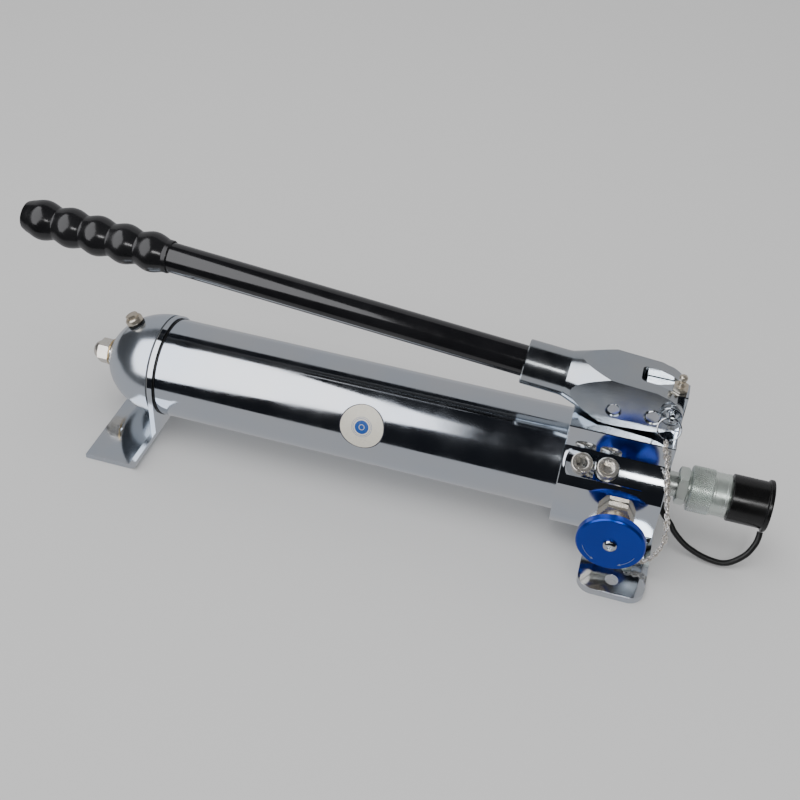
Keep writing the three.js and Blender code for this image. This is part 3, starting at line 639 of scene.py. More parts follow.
def knurl_tree():
    """Small pyramids in staggered rows round the X axis."""
    inputs = [("Around", "int"), ("Rows", "int"), ("Radius", "float"), ("Start", "float")]
    inputs += [("Length", "float"), ("Height", "float"), ("Size", "float"), ("Material", "material")]
    tree = Tree("knurling", inputs)
    given = tree.given
    total = tree.maths("MULTIPLY", given["Around"], given["Rows"])
    points = tree.add("GeometryNodePoints", None, {"Count": total}).outputs[0]
    index = tree.add("GeometryNodeInputIndex").outputs[0]
    row = tree.maths("FLOOR", tree.maths("DIVIDE", index, given["Around"]))
    column = tree.maths("MODULO", index, given["Around"])
    shifted = tree.maths("ADD", column, tree.maths("MULTIPLY", tree.maths("MODULO", row, 2.0), 0.5))
    angle = tree.maths("DIVIDE", tree.maths("MULTIPLY", shifted, 2 * math.pi), given["Around"])
    step = tree.maths("DIVIDE", given["Length"], tree.maths("SUBTRACT", given["Rows"], 1.0))
    along = tree.maths("ADD", given["Start"], tree.maths("MULTIPLY", row, step))
    cosine, sine = tree.maths("COSINE", angle), tree.maths("SINE", angle)
    radial = tree.add("ShaderNodeCombineXYZ", None, {0: 0.0, 1: cosine, 2: sine}).outputs[0]
    sideways = tree.maths("MULTIPLY", cosine, given["Radius"])
    rise = tree.maths("ADD", tree.maths("MULTIPLY", sine, given["Radius"]), AXIS_Z * MM)
    place = tree.add("ShaderNodeCombineXYZ", None, {0: along, 1: sideways, 2: rise}).outputs[0]
    inputs = {"Geometry": points, "Position": place}
    placed = tree.add("GeometryNodeSetPosition", None, inputs).outputs[0]
    inputs = {"Vertices": 4, "Radius Top": 0.0}
    inputs.update({"Radius Bottom": given["Size"], "Depth": given["Height"]})
    tooth = tree.add("GeometryNodeMeshCone", None, inputs).outputs[0]
    upright = tree.add("FunctionNodeAlignRotationToVector", {"axis": "Z"}, {"Vector": radial}).outputs[0]
    inputs = {"Rotation": upright, "Vector": (1.0, 0.0, 0.0)}
    settings = {"axis": "X", "pivot_axis": "Z"}
    squared = tree.add("FunctionNodeAlignRotationToVector", settings, inputs).outputs[0]
    inputs = {"Points": placed, "Instance": tooth, "Rotation": squared}
    return tree.close(tree.add("GeometryNodeInstanceOnPoints", None, inputs).outputs[0])


def copies_tree():
    """One source object on each point of the base mesh."""
    tree = Tree("copies", [("Source", "object"), ("Material", "material")])
    given = tree.given
    source = tree.add("GeometryNodeObjectInfo", None, {"Object": given["Source"]}).outputs["Geometry"]
    inputs = {"Points": given["Geometry"], "Instance": source}
    return tree.close(tree.add("GeometryNodeInstanceOnPoints", None, inputs).outputs[0])


def copies(name, bm, places):
    """Copies of a bmesh made about the origin, one at each place in millimetres."""
    source = as_object(f"{name}_source", bm)
    points = bmesh.new()
    for place in places:
        points.verts.new(place * MM)
    obj = grown(name, points, copies_tree(), {"Source": source, "Material": FINISH["chrome"]})
    bpy.data.objects.remove(source)
    return obj


# ---- Pieces ----


def dome_point(turn, thickness=0.0):
    """A point on the dome's outline: its X and its distance from the tank's axis."""
    depth, radius = DOME_DEPTH - thickness, DOME_RADIUS - thickness
    return (SEAM - depth * math.sin(turn), radius * math.cos(turn))


def build_reservoir():
    tank = (AXIS, X)
    left, right = -379.4, BLOCK_LEFT + 5.7
    profile = [(left, 37), (left, TANK_RADIUS), (right, TANK_RADIUS), (right, 37)]
    turned_piece("reservoir_shell", profile, tank, "root", FINISH["tank_chrome"],
                 ["reservoir_tube"], 160)
    rim = math.asin(1.6 / DOME_DEPTH)
    last = math.radians(74)
    turns = [rim + (last - rim) * k / 30 for k in range(31)]
    outer = [dome_point(t) for t in turns]
    inner = [dome_point(t, 4) for t in reversed(turns)]
    profile = outer + [(-434, 12), (-434, 6.3), (-428.5, 6.3)] + inner
    obj = as_object("domed_end", turned(profile, AXIS, X, 128, 0))
    seat, normal = vent_place()
    combine(obj, [rod(seat, normal, -12, 3, 5.3), rod(seat, normal, -0.4, 4, 7.6)])
    soften(obj, 0.3 * MM, 50)
    piece(obj, "root", FINISH["dome"], ["end_cap"], 40)
    face = -436.1
    obj = hexagon("dome_nut", *tank, face - 9.9, face, 18.5)
    crown = [(face - 16.3, 0), (face - 16.2, 1.6), (face - 15.6, 3.8), (face - 14.2, 6.0)]
    crown += [(face - 12.4, 7.4), (face - 10.2, 8.3), (face - 8, 8.4), (face - 8, 0)]
    combine(obj, [turned(crown, *tank, 64, 0)], "UNION")
    combine(obj, [rod(AXIS, X, face - 12, face + 1, 6.3)])
    piece(obj, "root", FINISH["screw"], ["acorn_nut"])


def vent_place():
    """The vent's seat on the dome and the dome's normal there."""
    turn = math.radians(31)
    x, z = dome_point(turn)
    normal = Vector((-math.sin(turn) / DOME_DEPTH, 0, math.cos(turn) / DOME_RADIUS)).normalized()
    return Vector((x, 0, z + AXIS_Z)), normal


def build_vent():
    seat, normal = vent_place()
    profile = [(-9, 0), (-9, 5), (1.5, 5), (1.5, 6.4), (2.2, 7), (5.4, 7), (6.6, 6.0), (6.6, 0)]
    obj = as_object("vent_screw", turned(profile, seat, normal, 72, 0.3))
    combine(obj, [taken(hexagon("vent_hex", seat, normal, 6, 9.4, 9))], "UNION")
    piece(obj, "vent", FINISH["nickel"], ["vent_plug"])
    profile = [(-0.1, 5.3), (-0.1, 7.1), (1.2, 7.1), (1.2, 5.3)]
    turned_piece("vent_ring", profile, (seat, normal), "vent", FINISH["rubber"],
                 ["vent_seal"], 64)


def build_feet():
    right, thick, lip, bend = -381.0, 4.0, 9.5, 3.0
    back = right - thick
    outline = [(-425.5, 0)] + arc((right - bend - thick, bend + thick), bend + thick, -90, 0, 10)
    outline += [(right, lip), (back, lip)]
    outline += arc((back - bend, bend + thick), bend, 0, -90, 8) + [(-425.5, thick)]
    obj = as_object("foot_bracket", prism(outline, along_y, -78.3, 78.3))
    web = prism(rectangle(-42, 42, lip - 1, AXIS_Z), along_x, back, right)
    ring = rod(AXIS, X, back, right, DOME_RADIUS, 128)
    combine(obj, [web, ring], "UNION")
    combine(obj, [rod(AXIS, X, back - 1, right + 1, 36, 96)])
    soften(obj)
    piece(obj, "root", FINISH["chrome"], ["rear_foot"])

    half, corner, end = 25, 12, 86
    outline = arc((half - corner, -end + corner), corner, -90, 0, 12)
    outline += arc((half - corner, end - corner), corner, 0, 90, 12)
    outline += arc((-half + corner, end - corner), corner, 90, 180, 12)
    outline += arc((-half + corner, -end + corner), corner, 180, 270, 12)
    obj = as_object("base_bar", prism(outline, along_z, 0, 6))
    holes = [rod(Vector((0, y, 0)), Z, -1, 7, 5) for y in (-72.8, 72.8)]
    holes.append(rod(Vector((9, -56, 0)), Z, -1, 7, 2.3, 32))
    countersink = [(-1, 0), (-1, 6.1), (0.2, 6.1), (3, 3.3), (8, 3.3), (8, 0)]
    holes += [turned(countersink, place, Z, 48, 0) for place in BASE_SCREWS]
    combine(obj, holes)
    soften(obj)
    piece(obj, "root", FINISH["chrome"], ["base_plate"])


def build_block():
    flat, foot, boss, boss_top = 45.7, 41.2, 28.4, 105.5
    side = math.degrees(math.acos(flat / BLOCK_RADIUS))
    low = math.degrees(math.asin(foot / BLOCK_RADIUS))
    top = math.degrees(math.acos(boss / BLOCK_RADIUS))
    spans = [(-low, -side), (side, top), (180 - top, 180 - side), (180 + side, 180 + low)]
    arcs = [arc((0, AXIS_Z), BLOCK_RADIUS, start, end, 48) for start, end in spans]
    outline = arcs[0] + arcs[1] + [(boss, boss_top), (-boss, boss_top)] + arcs[2] + arcs[3]
    obj = as_object("block_body", prism(outline, along_x, BLOCK_LEFT, BLOCK_RIGHT))
    combine(obj, [prism(rectangle(-9.2, 22, 100, 137), along_y, -8.1, 8.1)], "UNION")
    soften(obj, 0.6 * MM, 40)
    floor = BLOCK_LEFT + 6
    cuts = [
        rod(AXIS, X, BLOCK_LEFT - 1, floor, TANK_RADIUS + GAP, 128),
        rod(AXIS, X, floor - 1, floor + 14, 6.3),
        rod(PLUNGER, Z, 50, 107, 8.3),
        rod(PLUNGER, Z, 88.5, 107, 15.3, 96),
        rod(AXIS, X, -8, 24, 4.3),
        rod(AXIS, X, 8.7, 24, 9.7),
        rod(VALVE, FRONT, 26.7, 47, 8.3),
        rod(VALVE, FRONT, 0, 27, 4.6),
        rod(FULCRUM, Y, -10, 10, 5.8),
        rod(LOCK, Y, -10, 10, 3.8),
        rod(GREASE, Z, 134.5, 138, 2.8, 32),
    ]
    for head in SCREW_HEADS:
        cuts.append(rod(head, SCREW_OUT, -10.3, 20, 8.75, 96))
        cuts.append(rod(head, SCREW_OUT, -40, -9, 5.3))
    cuts += [rod(place, Z, 5, 19, 3.3, 32) for place in BASE_SCREWS]
    combine(obj, cuts)
    piece(obj, "root", FINISH["chrome"], ["pump_block"], 0.1)


def socket_screw(axis):
    """A socket-head screw about the origin, its head's top at the origin."""
    profile = [(0, 0), (0, 7.3), (-0.7, 8), (-10, 8), (-10, 5), (-22, 5), (-22, 0)]
    obj = as_object("screw_blank", turned(profile, Vector(), axis, 72, 0.3))
    dish = [(0.2, 0), (0.2, 5.4), (-0.6, 4.75), (-0.6, 0)]
    combine(obj, [rod(Vector(), axis, -5, 2, 4.62, 6), turned(dish, Vector(), axis, 48, 0)])
    soften(obj, 0.2 * MM, 40)
    return taken(obj)


def build_screws():
    obj = copies("socket_screws", socket_screw(SCREW_OUT), SCREW_HEADS)
    nodes = ["relief_valve_screw", "outlet_valve_screw"]
    piece(obj, "root", FINISH["screw"], nodes)


def stadium(radius):
    """A slot's outline round the crank pin, long enough for the pin's sideways travel."""
    left = arc((CRANK.x, CRANK.z), radius, 90, 270, 20)
    return left + arc((CRANK.x + 5.5, CRANK.z), radius, -90, 90, 20)


def build_plunger():
    profile = [(91.8, 8.3), (91.8, 15), (105.2, 15), (105.2, 8.3)]
    obj = as_object("gland_ring", turned(profile, PLUNGER, Z, 96, 0.5))
    combine(obj, [rod(PLUNGER + X * side * 11.6, Z, 102.2, 107, 1.5, 32) for side in (-1, 1)])
    piece(obj, "root", FINISH["nickel"], ["plunger_gland"])
    obj = as_object("plunger_rod", rod(PLUNGER, Z, 56, 116.3, 8, 96))
    combine(obj, [prism(stadium(8.8), along_y, -7.7, 7.7)], "UNION")
    combine(obj, [prism(stadium(5.8), along_y, -10, 10)])
    soften(obj, 0.4 * MM, 40)
    piece(obj, "plunger", FINISH["chrome"], ["plunger"])


def axis_height(x):
    """Height of the lever's axis above the floor."""
    return HANDLE_Z - x * math.tan(HANDLE_SLOPE)


def build_fork():
    left = -97.0
    x, z = FULCRUM.x, FULCRUM.z
    cheek = [(left - 2, axis_height(left) + 19.6), (x - 1, axis_height(x) + 19.6)]
    cheek += arc((x, z), 20.2, 80, -8, 22)
    cheek += [(x + 17.4, z - 6.2), (x + 13.7, z - 9), (x + 7, z - 12.2), (x - 1.7, z - 13.5)]
    cheek += [(CRANK.x, axis_height(CRANK.x) - 19.8), (left - 2, axis_height(left) - 19.6)]
    obj = as_object("fork", prism(cheek, along_y, -18.75, 18.75))
    form = [(left, 0), (left, 16), (left + 0.8, 16.75), (left + 29, 16.75), (left + 32, 17.1)]
    form += [(left + 65, 28), (40, 28), (40, 0)]
    combine(obj, [turned(form, HANDLE_ORIGIN, HANDLE_AXIS, 128, 0)], "INTERSECT")
    roof = axis_height(CRANK.x) + 10
    half = 8.4
    slot = arc((-10, half - 3), 3, 90, 180, 6) + arc((-10, 3 - half), 3, 180, 270, 6)
    slot += [(40, -half), (40, half)]
    cuts = [
        rod(HANDLE_ORIGIN, HANDLE_AXIS, left - 1, left + 35, 11.95, 96),
        prism(rectangle(-41, 40, -half, half), along_z, 80, roof),
        prism(slot, along_z, 80, 160),
    ]
    for place, radius in ((CRANK, 5.3), (FULCRUM, 5.8), (LOCK, 3.8)):
        cuts.append(rod(place, Y, -20, 20, radius))
    for side in (FRONT, Y):
        cuts.append(rod(CRANK, side, 17.35, 20, 6))
        cuts.append(turned([(17.9, 0), (17.9, 5.8), (19.0, 7.0), (19.0, 0)], FULCRUM, side, 64, 0))
    combine(obj, cuts)
    soften(obj, 0.4 * MM, 38)
    piece(obj, "handle", FINISH["satin"], ["fork_head"], 8)
    for name, place, half, radius, body, node in (
        ("crank_pin", CRANK, 17.6, 5.0, "handle", "plunger_pin"),
        ("pivot_pin", FULCRUM, 18.6, 5.5, "root", "fulcrum_pin"),
    ):
        profile = [(-half, 0), (-half, radius - 0.7), (-half + 0.7, radius)]
        profile += [(half - 0.7, radius), (half, radius - 0.7), (half, 0)]
        turned_piece(name, profile, (place, Y), body, FINISH["chrome"], [node], 64, 0.2)


def build_handle():
    lever = (HANDLE_ORIGIN, HANDLE_AXIS)
    profile = [(-490, 9), (-490, 11.65), (-62.5, 11.65), (-62.5, 9)]
    turned_piece("lever_tube", profile, lever, "handle", FINISH["enamel"],
                 ["handle_tube"], 128)
    right = -375.5
    ribs, per_rib, pitch = 5, 14, 22.5
    first = right - 4 - ribs * pitch
    profile = [(-491, 0), (-491, 12.1), (right, 12.1)]
    profile += [(right, 12.5), (right - 0.6, 12.9), (right - 3, 12.9)]
    for k in range(ribs * per_rib, -1, -1):
        swell = math.sin(math.pi * (k % per_rib) / per_rib) ** 1.25
        profile.append((first + k * pitch / per_rib, 12.8 + 2.9 * swell))
    profile += [(-496.0, 11.0), (-496.7, 8.5), (-497, 5), (-497, 0)]
    turned_piece("grip", profile, lever, "handle", FINISH["grip"],
                 ["handle_grip"], 96, 0.5)


def build_nipple():
    obj = hexagon("grease_fitting", GREASE, Z, 137.3, 141.3, 10)
    stem = [(135, 0), (135, 2.5), (137.8, 2.5), (141.3, 2.9), (143.3, 2.1), (144.7, 2.1)]
    stem += [(145.7, 2.7), (146.8, 3.1), (148.2, 3.1), (149.3, 2.5), (150.0, 1.5), (150.3, 0)]
    combine(obj, [turned(stem, GREASE, Z, 48, 0)], "UNION")
    piece(obj, "root", FINISH["nickel"], ["grease_nipple"])


def hoop(centre, normal, radius, wire):
    """A ring of round wire with ten sides."""
    return turned(arc((0, radius), wire, 0, 324, 9), centre, normal, 72, 0)


def build_lock_pin():
    profile = [(8.8, 0), (8.8, 2.6), (9.8, 3.5), (19.05, 3.5), (19.05, 4.4)]
    profile += [(20.45, 4.4), (20.45, 2.4), (22.6, 2.4), (22.6, 0)]
    obj = as_object("locking_pin", turned(profile, LOCK, FRONT, 48, 0.25))
    eye = [(-1.8, 0), (-1.8, 2.8), (-1.1, 3.4), (1.1, 3.4), (1.8, 2.8), (1.8, 0)]
    combine(obj, [turned(eye, EYE, X, 48, 0)], "UNION")
    combine(obj, [rod(EYE, X, -4, 4, 1.7, 32)])
    soften(obj, 0.2 * MM, 50)
    piece(obj, "lock_pin", FINISH["chrome"], ["lock_pin"])
    obj = as_object("retaining_ring", hoop(Vector((12.4, -21.9, 128.6)), Y, 7.4, 0.6))
    piece(obj, "lock_pin", FINISH["chrome"], ["pin_ring"])
    lean, radius = math.radians(30), 8.2
    centre = EYE - Vector((0, math.sin(lean), math.cos(lean))) * radius
    normal = Vector((0, -math.cos(lean), math.sin(lean)))
    obj = as_object("split_ring", hoop(centre, normal, radius, 0.65))
    piece(obj, "lock_pin", FINISH["chrome"], ["chain_ring"])


def build_release():
    line = (VALVE, FRONT)
    face = 46.0
    obj = hexagon("packing_nut", *line, face, face + 8, 24)
    combine(obj, [rod(*line, 27, face + 1, 8), rod(*line, face + 7, face + 12, 9)], "UNION")
    combine(obj, [rod(*line, 20, 70, 4.3), rod(*line, face + 9, face + 13, 6.5)])
    soften(obj, 0.4 * MM, 45)
    piece(obj, "root", FINISH["nickel"], ["valve_gland_nut"])
    profile = [(15, 0), (15, 2.4), (17, 4), (74.7, 4), (74.7, 0)]
    turned_piece("valve_stem", profile, line, "release_valve", FINISH["satin"],
                 ["release_spindle"], 48, 0.2)
    profile = [(66, 4.3), (66, 8), (71.5, 9), (71.5, 23.8), (72.7, 25)]
    profile += [(77.8, 25), (79, 23.8), (79, 3), (75, 3), (75, 4.3)]
    turned_piece("release_wheel", profile, line, "release_valve", FINISH["knob"],
                 ["release_knob"], 160, 0.35)
    profile = [(75, 0), (75, 2.7), (79.3, 2.7), (79.3, 5.3), (80.0, 5.2)]
    profile += [(80.9, 4.6), (81.5, 3.6), (81.7, 2.9), (81.7, 0)]
    obj = as_object("button_screw", turned(profile, *line, 64, 0.2))
    combine(obj, [rod(*line, 79.9, 84, 1.9, 6)])
    soften(obj, 0.15 * MM, 50)
    piece(obj, "release_valve", FINISH["chrome"], ["knob_screw"])
    build_knob_marks()


def build_knob_marks():
    """Two thin curved arrows near the wheel's rim, for opening and closing."""
    bm = bmesh.new()
    face = VALVE + FRONT * 79.06
    for start, end in ((198, 236), (340, 302)):
        rays = [Vector((x, 0, z)) for x, z in arc((0, 0), 1, start, end, 18)]
        rings = [[bm.verts.new((face + ray * r) * MM) for r in (19.8, 20.15)] for ray in rays]
        for low, high in zip(rings, rings[1:]):
            bm.faces.new([low[0], low[1], high[1], high[0]])
        tip = rays[-1]
        ahead = Vector((-tip.z, 0, tip.x)) * math.copysign(1, end - start)
        corners = [tip * 19, tip * 21, tip * 20 + ahead * 2.4]
        bm.faces.new([bm.verts.new((face + corner) * MM) for corner in corners])
    bmesh.ops.recalc_face_normals(bm, faces=bm.faces)
    for one in bm.faces:
        one.normal_update()
        if one.normal.y > 0:
            one.normal_flip()
    whole = bmesh.ops.extrude_face_region(bm, geom=list(bm.faces))
    moved = [item for item in whole["geom"] if isinstance(item, bmesh.types.BMVert)]
    bmesh.ops.translate(bm, verts=moved, vec=FRONT * 0.08 * MM)
    bmesh.ops.recalc_face_normals(bm, faces=bm.faces)
    obj = as_object("wheel_marks", bm)
    piece(obj, "release_valve", FINISH["mark"])


def build_coupler():
    line = (OUTLET, X)
    profile = [(-13, 3), (-13, 9.4), (18, 9.4), (18, 12.1), (46.8, 12.1), (46.8, 10.9)]
    profile += [(48.6, 10.9), (48.6, 12.1), (66, 12.1), (66, 9.5), (26, 9.5), (26, 3)]
    obj = as_object("coupler_stem", turned(profile, *line, 96, 0.4))
    nut = hexagon("coupler_nut", *line, 10.3, 18.4, 26)
    combine(nut, [rod(*line, 9, 20, 9.2)])
    combine(obj, [taken(nut)], "UNION")
    soften(obj, 0.3 * MM, 50)
    piece(obj, "root", FINISH["zinc"], ["coupler_body"])
    size = sizes()
    core = 17.2
    profile = [(19.6, 12.4), (19.6, 16.6), (20.4, core), (35.9, core), (36.6, 16.8)]
    profile += [(38.0, 16.8), (38.3, 16.5), (46.0, 16.5), (46.3, 16.8), (48.2, 16.8)]
    profile += [(48.8, 16.2), (48.8, 14), (46.8, 14), (46.8, 12.4)]
    turned_piece("coupler_collar", profile, line, "sleeve", FINISH["zinc"],
                 ["coupler_sleeve"], 128, 0.3)
    values = {
        "Around": size.knurl_around,
        "Rows": size.knurl_rows,
        "Radius": (core - 0.15) * MM,
        "Start": (BLOCK_RIGHT + 21.0) * MM,
        "Length": 14.4 * MM,
        "Height": 0.75 * MM,
        "Size": 1.15 * MM,
        "Material": FINISH["zinc"],
    }
    obj = grown("collar_knurl", bmesh.new(), knurl_tree(), values)
    piece(obj, "sleeve", FINISH["zinc"], (), 15)
    profile = [(72, 0), (72, 12.4), (50, 12.4), (50, 17.7), (50.5, 18.1), (76.0, 18.1)]
    profile += [(76.3, 19.4), (76.9, 19.9), (79.0, 19.9), (79.7, 19.2), (79.7, 0)]
    turned_piece("end_cover", profile, line, "cap", FINISH["cap"], ["dust_cap"], 128)
    profile = [(0.4, 9.7), (0.4, 15.8), (2.8, 15.8), (2.8, 9.7)]
    turned_piece("strap_loop", profile, line, "root", FINISH["rubber"],
                 ["strap_ring"], 96, 0.5)


# From the split ring down past the block to the anchor in the base plate, in millimetres.
CHAIN_ROUTE = [
    (13.4, -32.6, 112.8), (14.8, -33.6, 105.5), (17.6, -34.6, 97.7), (21, -38, 84.8),
    (24.6, -45.4, 71.2), (27.2, -48.4, 59.6), (29.6, -49, 46.3), (30.3, -50, 36.7),
    (29.3, -51, 29.7), (26.6, -52, 21), (21.5, -53.5, 14.6), (16, -55, 12.8), (11, -56, 12),
]
# From the loop on the coupler down and out to the dust cap, in millimetres.
STRAP_ROUTE = [
    (24.8, -7.9, 33.2), (25.4, -9.6, 29.4), (28.6, -12, 25), (34.7, -15.2, 20.6),
    (40, -18.9, 15.4), (50, -23, 9.2), (62.7, -25.5, 4.9), (74.7, -26.5, 3.4),
    (82.1, -25.9, 4.4), (88.7, -23.7, 8), (94.8, -20.3, 13.6), (98.6, -16, 20.4),
    (99.9, -12.4, 25.2), (100, -9.9, 28.9),
]


def smooth_route(route, per_span=6):
    """Points in metres on a smooth curve through the route's points."""
    knots = [Vector(p) * MM for p in route]
    knots = [2 * knots[0] - knots[1]] + knots + [2 * knots[-1] - knots[-2]]
    out = []
    for k in range(1, len(knots) - 2):
        a, b, c, d = knots[k - 1:k + 3]
        bend, twist = 2 * a - 5 * b + 4 * c - d, 3 * b - a - 3 * c + d
        for step in range(per_span):
            t = step / per_span
            out.append(0.5 * (2 * b + (c - a) * t + bend * t * t + twist * t ** 3))
    out.append(knots[-2])
    return out


def build_chain():
    size = sizes()
    points = smooth_route(CHAIN_ROUTE)
    bm = bmesh.new()
    verts = [bm.verts.new(p) for p in points]
    for low, high in zip(verts, verts[1:]):
        bm.edges.new((low, high))
    values = {
        "Pitch": size.link_pitch,
        "Wire": size.link_wire,
        "Half Width": 1.85 * MM,
        "Half Length": 2.6 * MM,
        "Material": FINISH["nickel"],
    }
    obj = grown("keeper_chain", bm, chain_tree(), values)
    obj.data.materials.clear()
    piece(obj, None, FINISH["chain"], ["pin_chain"], 60)
    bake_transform(obj)


def swept(points, radius, sides=16):
    """A round section along points in metres, with closed ends."""
    bm = bmesh.new()
    side = None
    rings = []
    for k, point in enumerate(points):
        ahead = (points[min(k + 1, len(points) - 1)] - points[max(k - 1, 0)]).normalized()
        if side is None:
            side = across(ahead)[0]
        side = (side - ahead * side.dot(ahead)).normalized()
        up = ahead.cross(side)
        ring = []
        for j in range(sides):
            angle = 2 * math.pi * j / sides
            offset = side * math.cos(angle) + up * math.sin(angle)
            ring.append(bm.verts.new(point + offset * radius))
        rings.append(ring)
    for low, high in zip(rings, rings[1:]):
        bridge(bm, low, high)
    bm.faces.new(rings[0])
    bm.faces.new(list(reversed(rings[-1])))
    bmesh.ops.recalc_face_normals(bm, faces=bm.faces)
    return bm


def build_strap():
    points = smooth_route(STRAP_ROUTE)
    obj = as_object("cover_strap", swept(points, sizes().strap_radius))
    piece(obj, None, FINISH["rubber"], ["cap_strap"])
    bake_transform(obj)


def build_emblem():
    """A thin disc bent round the tank."""
    tilt = math.atan2(16.5, 36.5)
    normal = Vector((0, -math.cos(tilt), math.sin(tilt)))
    middle = Vector((-207.7, 0, AXIS_Z))
    centre = middle + normal * 40.5
    bm = bmesh.new()
    rings = []
    around = 96
    for height in (0.3, 0.6):
        for radius in (0.0, 6.0, 12.0, 17.9):
            ring = []
            for k in range(around if radius else 1):
                angle = 2 * math.pi * k / around
                along = radius * math.cos(angle)
                turn = tilt + radius * math.sin(angle) / TANK_RADIUS
                skin = Vector((0, -math.cos(turn), math.sin(turn))) * (TANK_RADIUS + height)
                ring.append(bm.verts.new((middle + X * along + skin) * MM))
            rings.append(ring)
    order = rings[:4] + list(reversed(rings[4:]))
    for low, high in zip(order, order[1:]):
        bridge(bm, low, high)
    bmesh.ops.recalc_face_normals(bm, faces=bm.faces)
    obj = as_object("emblem_plate", bm)
    material = emblem("emblem_print", tuple(colours().paper), centre, normal)
    piece(obj, "root", material, ["round_label"])


# Finishes of the pieces that keep their frame mesh.
INNER = {
    "zinc": ["tie_rod", "suction_tube", "chain_anchor",
             "base_screw_1", "base_screw_2", "base_screw_3", "base_screw_4"],
    "satin": ["relief_spring", "outlet_spring", "relief_ball", "outlet_ball", "inlet_ball", "release_ball",
              "sleeve_snap_ring", "coupler_poppet", "poppet_spring"],
    "brass": ["suction_filter", "seal_washer"],
    "fibre": ["foot_gasket_rear"],
    "rubber": ["tank_seal", "foot_gasket_front", "plunger_seal", "valve_seal", "coupler_seal"],
}


def paint_frame():
    """Give the carried-over pieces their finishes."""
    for finish, names in INNER.items():
        for name in names:
            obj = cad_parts[name]
            if not obj.material_slots:
                obj.data.materials.append(FINISH[finish])
            for place in obj.material_slots:
                place.material = FINISH[finish]


# ---- Stage ----


def grey(name, value, roughness):
    shader = Shader(name)
    shader.surface.inputs["Base Color"].default_value = (value, value, value, 1)
    shader.surface.inputs["Roughness"].default_value = roughness
    shader.surface.inputs["Specular IOR Level"].default_value = 0.2
    return shader.material


CAMERA_PLACE = Vector((-0.0384, -0.6357, 0.6275))
CAMERA_AZIMUTH, CAMERA_ELEVATION, CAMERA_ROLL = (math.radians(a) for a in (13.24, 40.61, 4.35))
CAMERA_LENS = 49.45


def build_camera():
    level = math.cos(CAMERA_ELEVATION)
    back = Vector((math.sin(CAMERA_AZIMUTH) * level, -math.cos(CAMERA_AZIMUTH) * level,
                   math.sin(CAMERA_ELEVATION)))
    right = (-back).cross(Z).normalized()
    up = right.cross(-back)
    cosine, sine = math.cos(CAMERA_ROLL), math.sin(CAMERA_ROLL)
    right_rolled = cosine * right + sine * up
    up_rolled = -sine * right + cosine * up
    data = bpy.data.cameras.new("camera")
    data.lens = CAMERA_LENS
    data.sensor_width = 36
    data.clip_start = 0.01
    camera = bpy.data.objects.new("camera", data)
    turn = Matrix((right_rolled, up_rolled, back)).transposed().to_4x4()
    camera.matrix_world = Matrix.Translation(CAMERA_PLACE) @ turn
    bpy.context.scene.collection.objects.link(camera)
    bpy.context.scene.camera = camera


def soft_light(name, place, aim, size, power, glossy=True):
    """A rectangular lamp; one that isn't glossy stays out of reflections."""
    data = bpy.data.lights.new(name, "AREA")
    data.shape = "RECTANGLE"
    data.size, data.size_y = size
    data.energy = power
    light = bpy.data.objects.new(name, data)
    light.location = place
    light.rotation_euler = (Vector(aim) - Vector(place)).to_track_quat("-Z", "Y").to_euler()
    light.visible_glossy = glossy
    bpy.context.scene.collection.objects.link(light)


def build_world():
    """Plain light from all round, and a dark room in everything glossy."""
    world = bpy.data.worlds.new("studio")
    bpy.context.scene.world = world
    world.use_nodes = True
    nodes, links = world.node_tree.nodes, world.node_tree.links
    plain = nodes["Background"]
    plain.inputs["Color"].default_value = (1, 1, 1, 1)
    plain.inputs["Strength"].default_value = 0.95
    gloss = nodes.new("ShaderNodeBackground")
    gloss.inputs["Color"].default_value = (0.012, 0.013, 0.016, 1)
    mix = nodes.new("ShaderNodeMixShader")
    links.new(nodes.new("ShaderNodeLightPath").outputs["Is Glossy Ray"], mix.inputs["Fac"])
    links.new(plain.outputs[0], mix.inputs[1])
    links.new(gloss.outputs[0], mix.inputs[2])
    links.new(mix.outputs[0], nodes["World Output"].inputs["Surface"])


def glow(name, value):
    """A card that gives off a plain light of its own."""
    material = bpy.data.materials.new(name)
    material.use_nodes = True
    surface = material.node_tree.nodes["Principled BSDF"]
    surface.inputs["Base Color"].default_value = (0, 0, 0, 1)
    surface.inputs["Specular IOR Level"].default_value = 0
    surface.inputs["Emission Color"].default_value = (value, value, value * 1.03, 1)
    surface.inputs["Emission Strength"].default_value = 1.0
    return material


def card(name, corners, material):
    """A flat card seen only in reflections."""
    bm = bmesh.new()
    bm.faces.new([bm.verts.new(corner) for corner in corners])
    obj = as_object(name, bm)
    obj.data.materials.append(material)
    obj.visible_camera = False
    obj.visible_diffuse = False
    obj.visible_shadow = False
    obj.visible_transmission = False


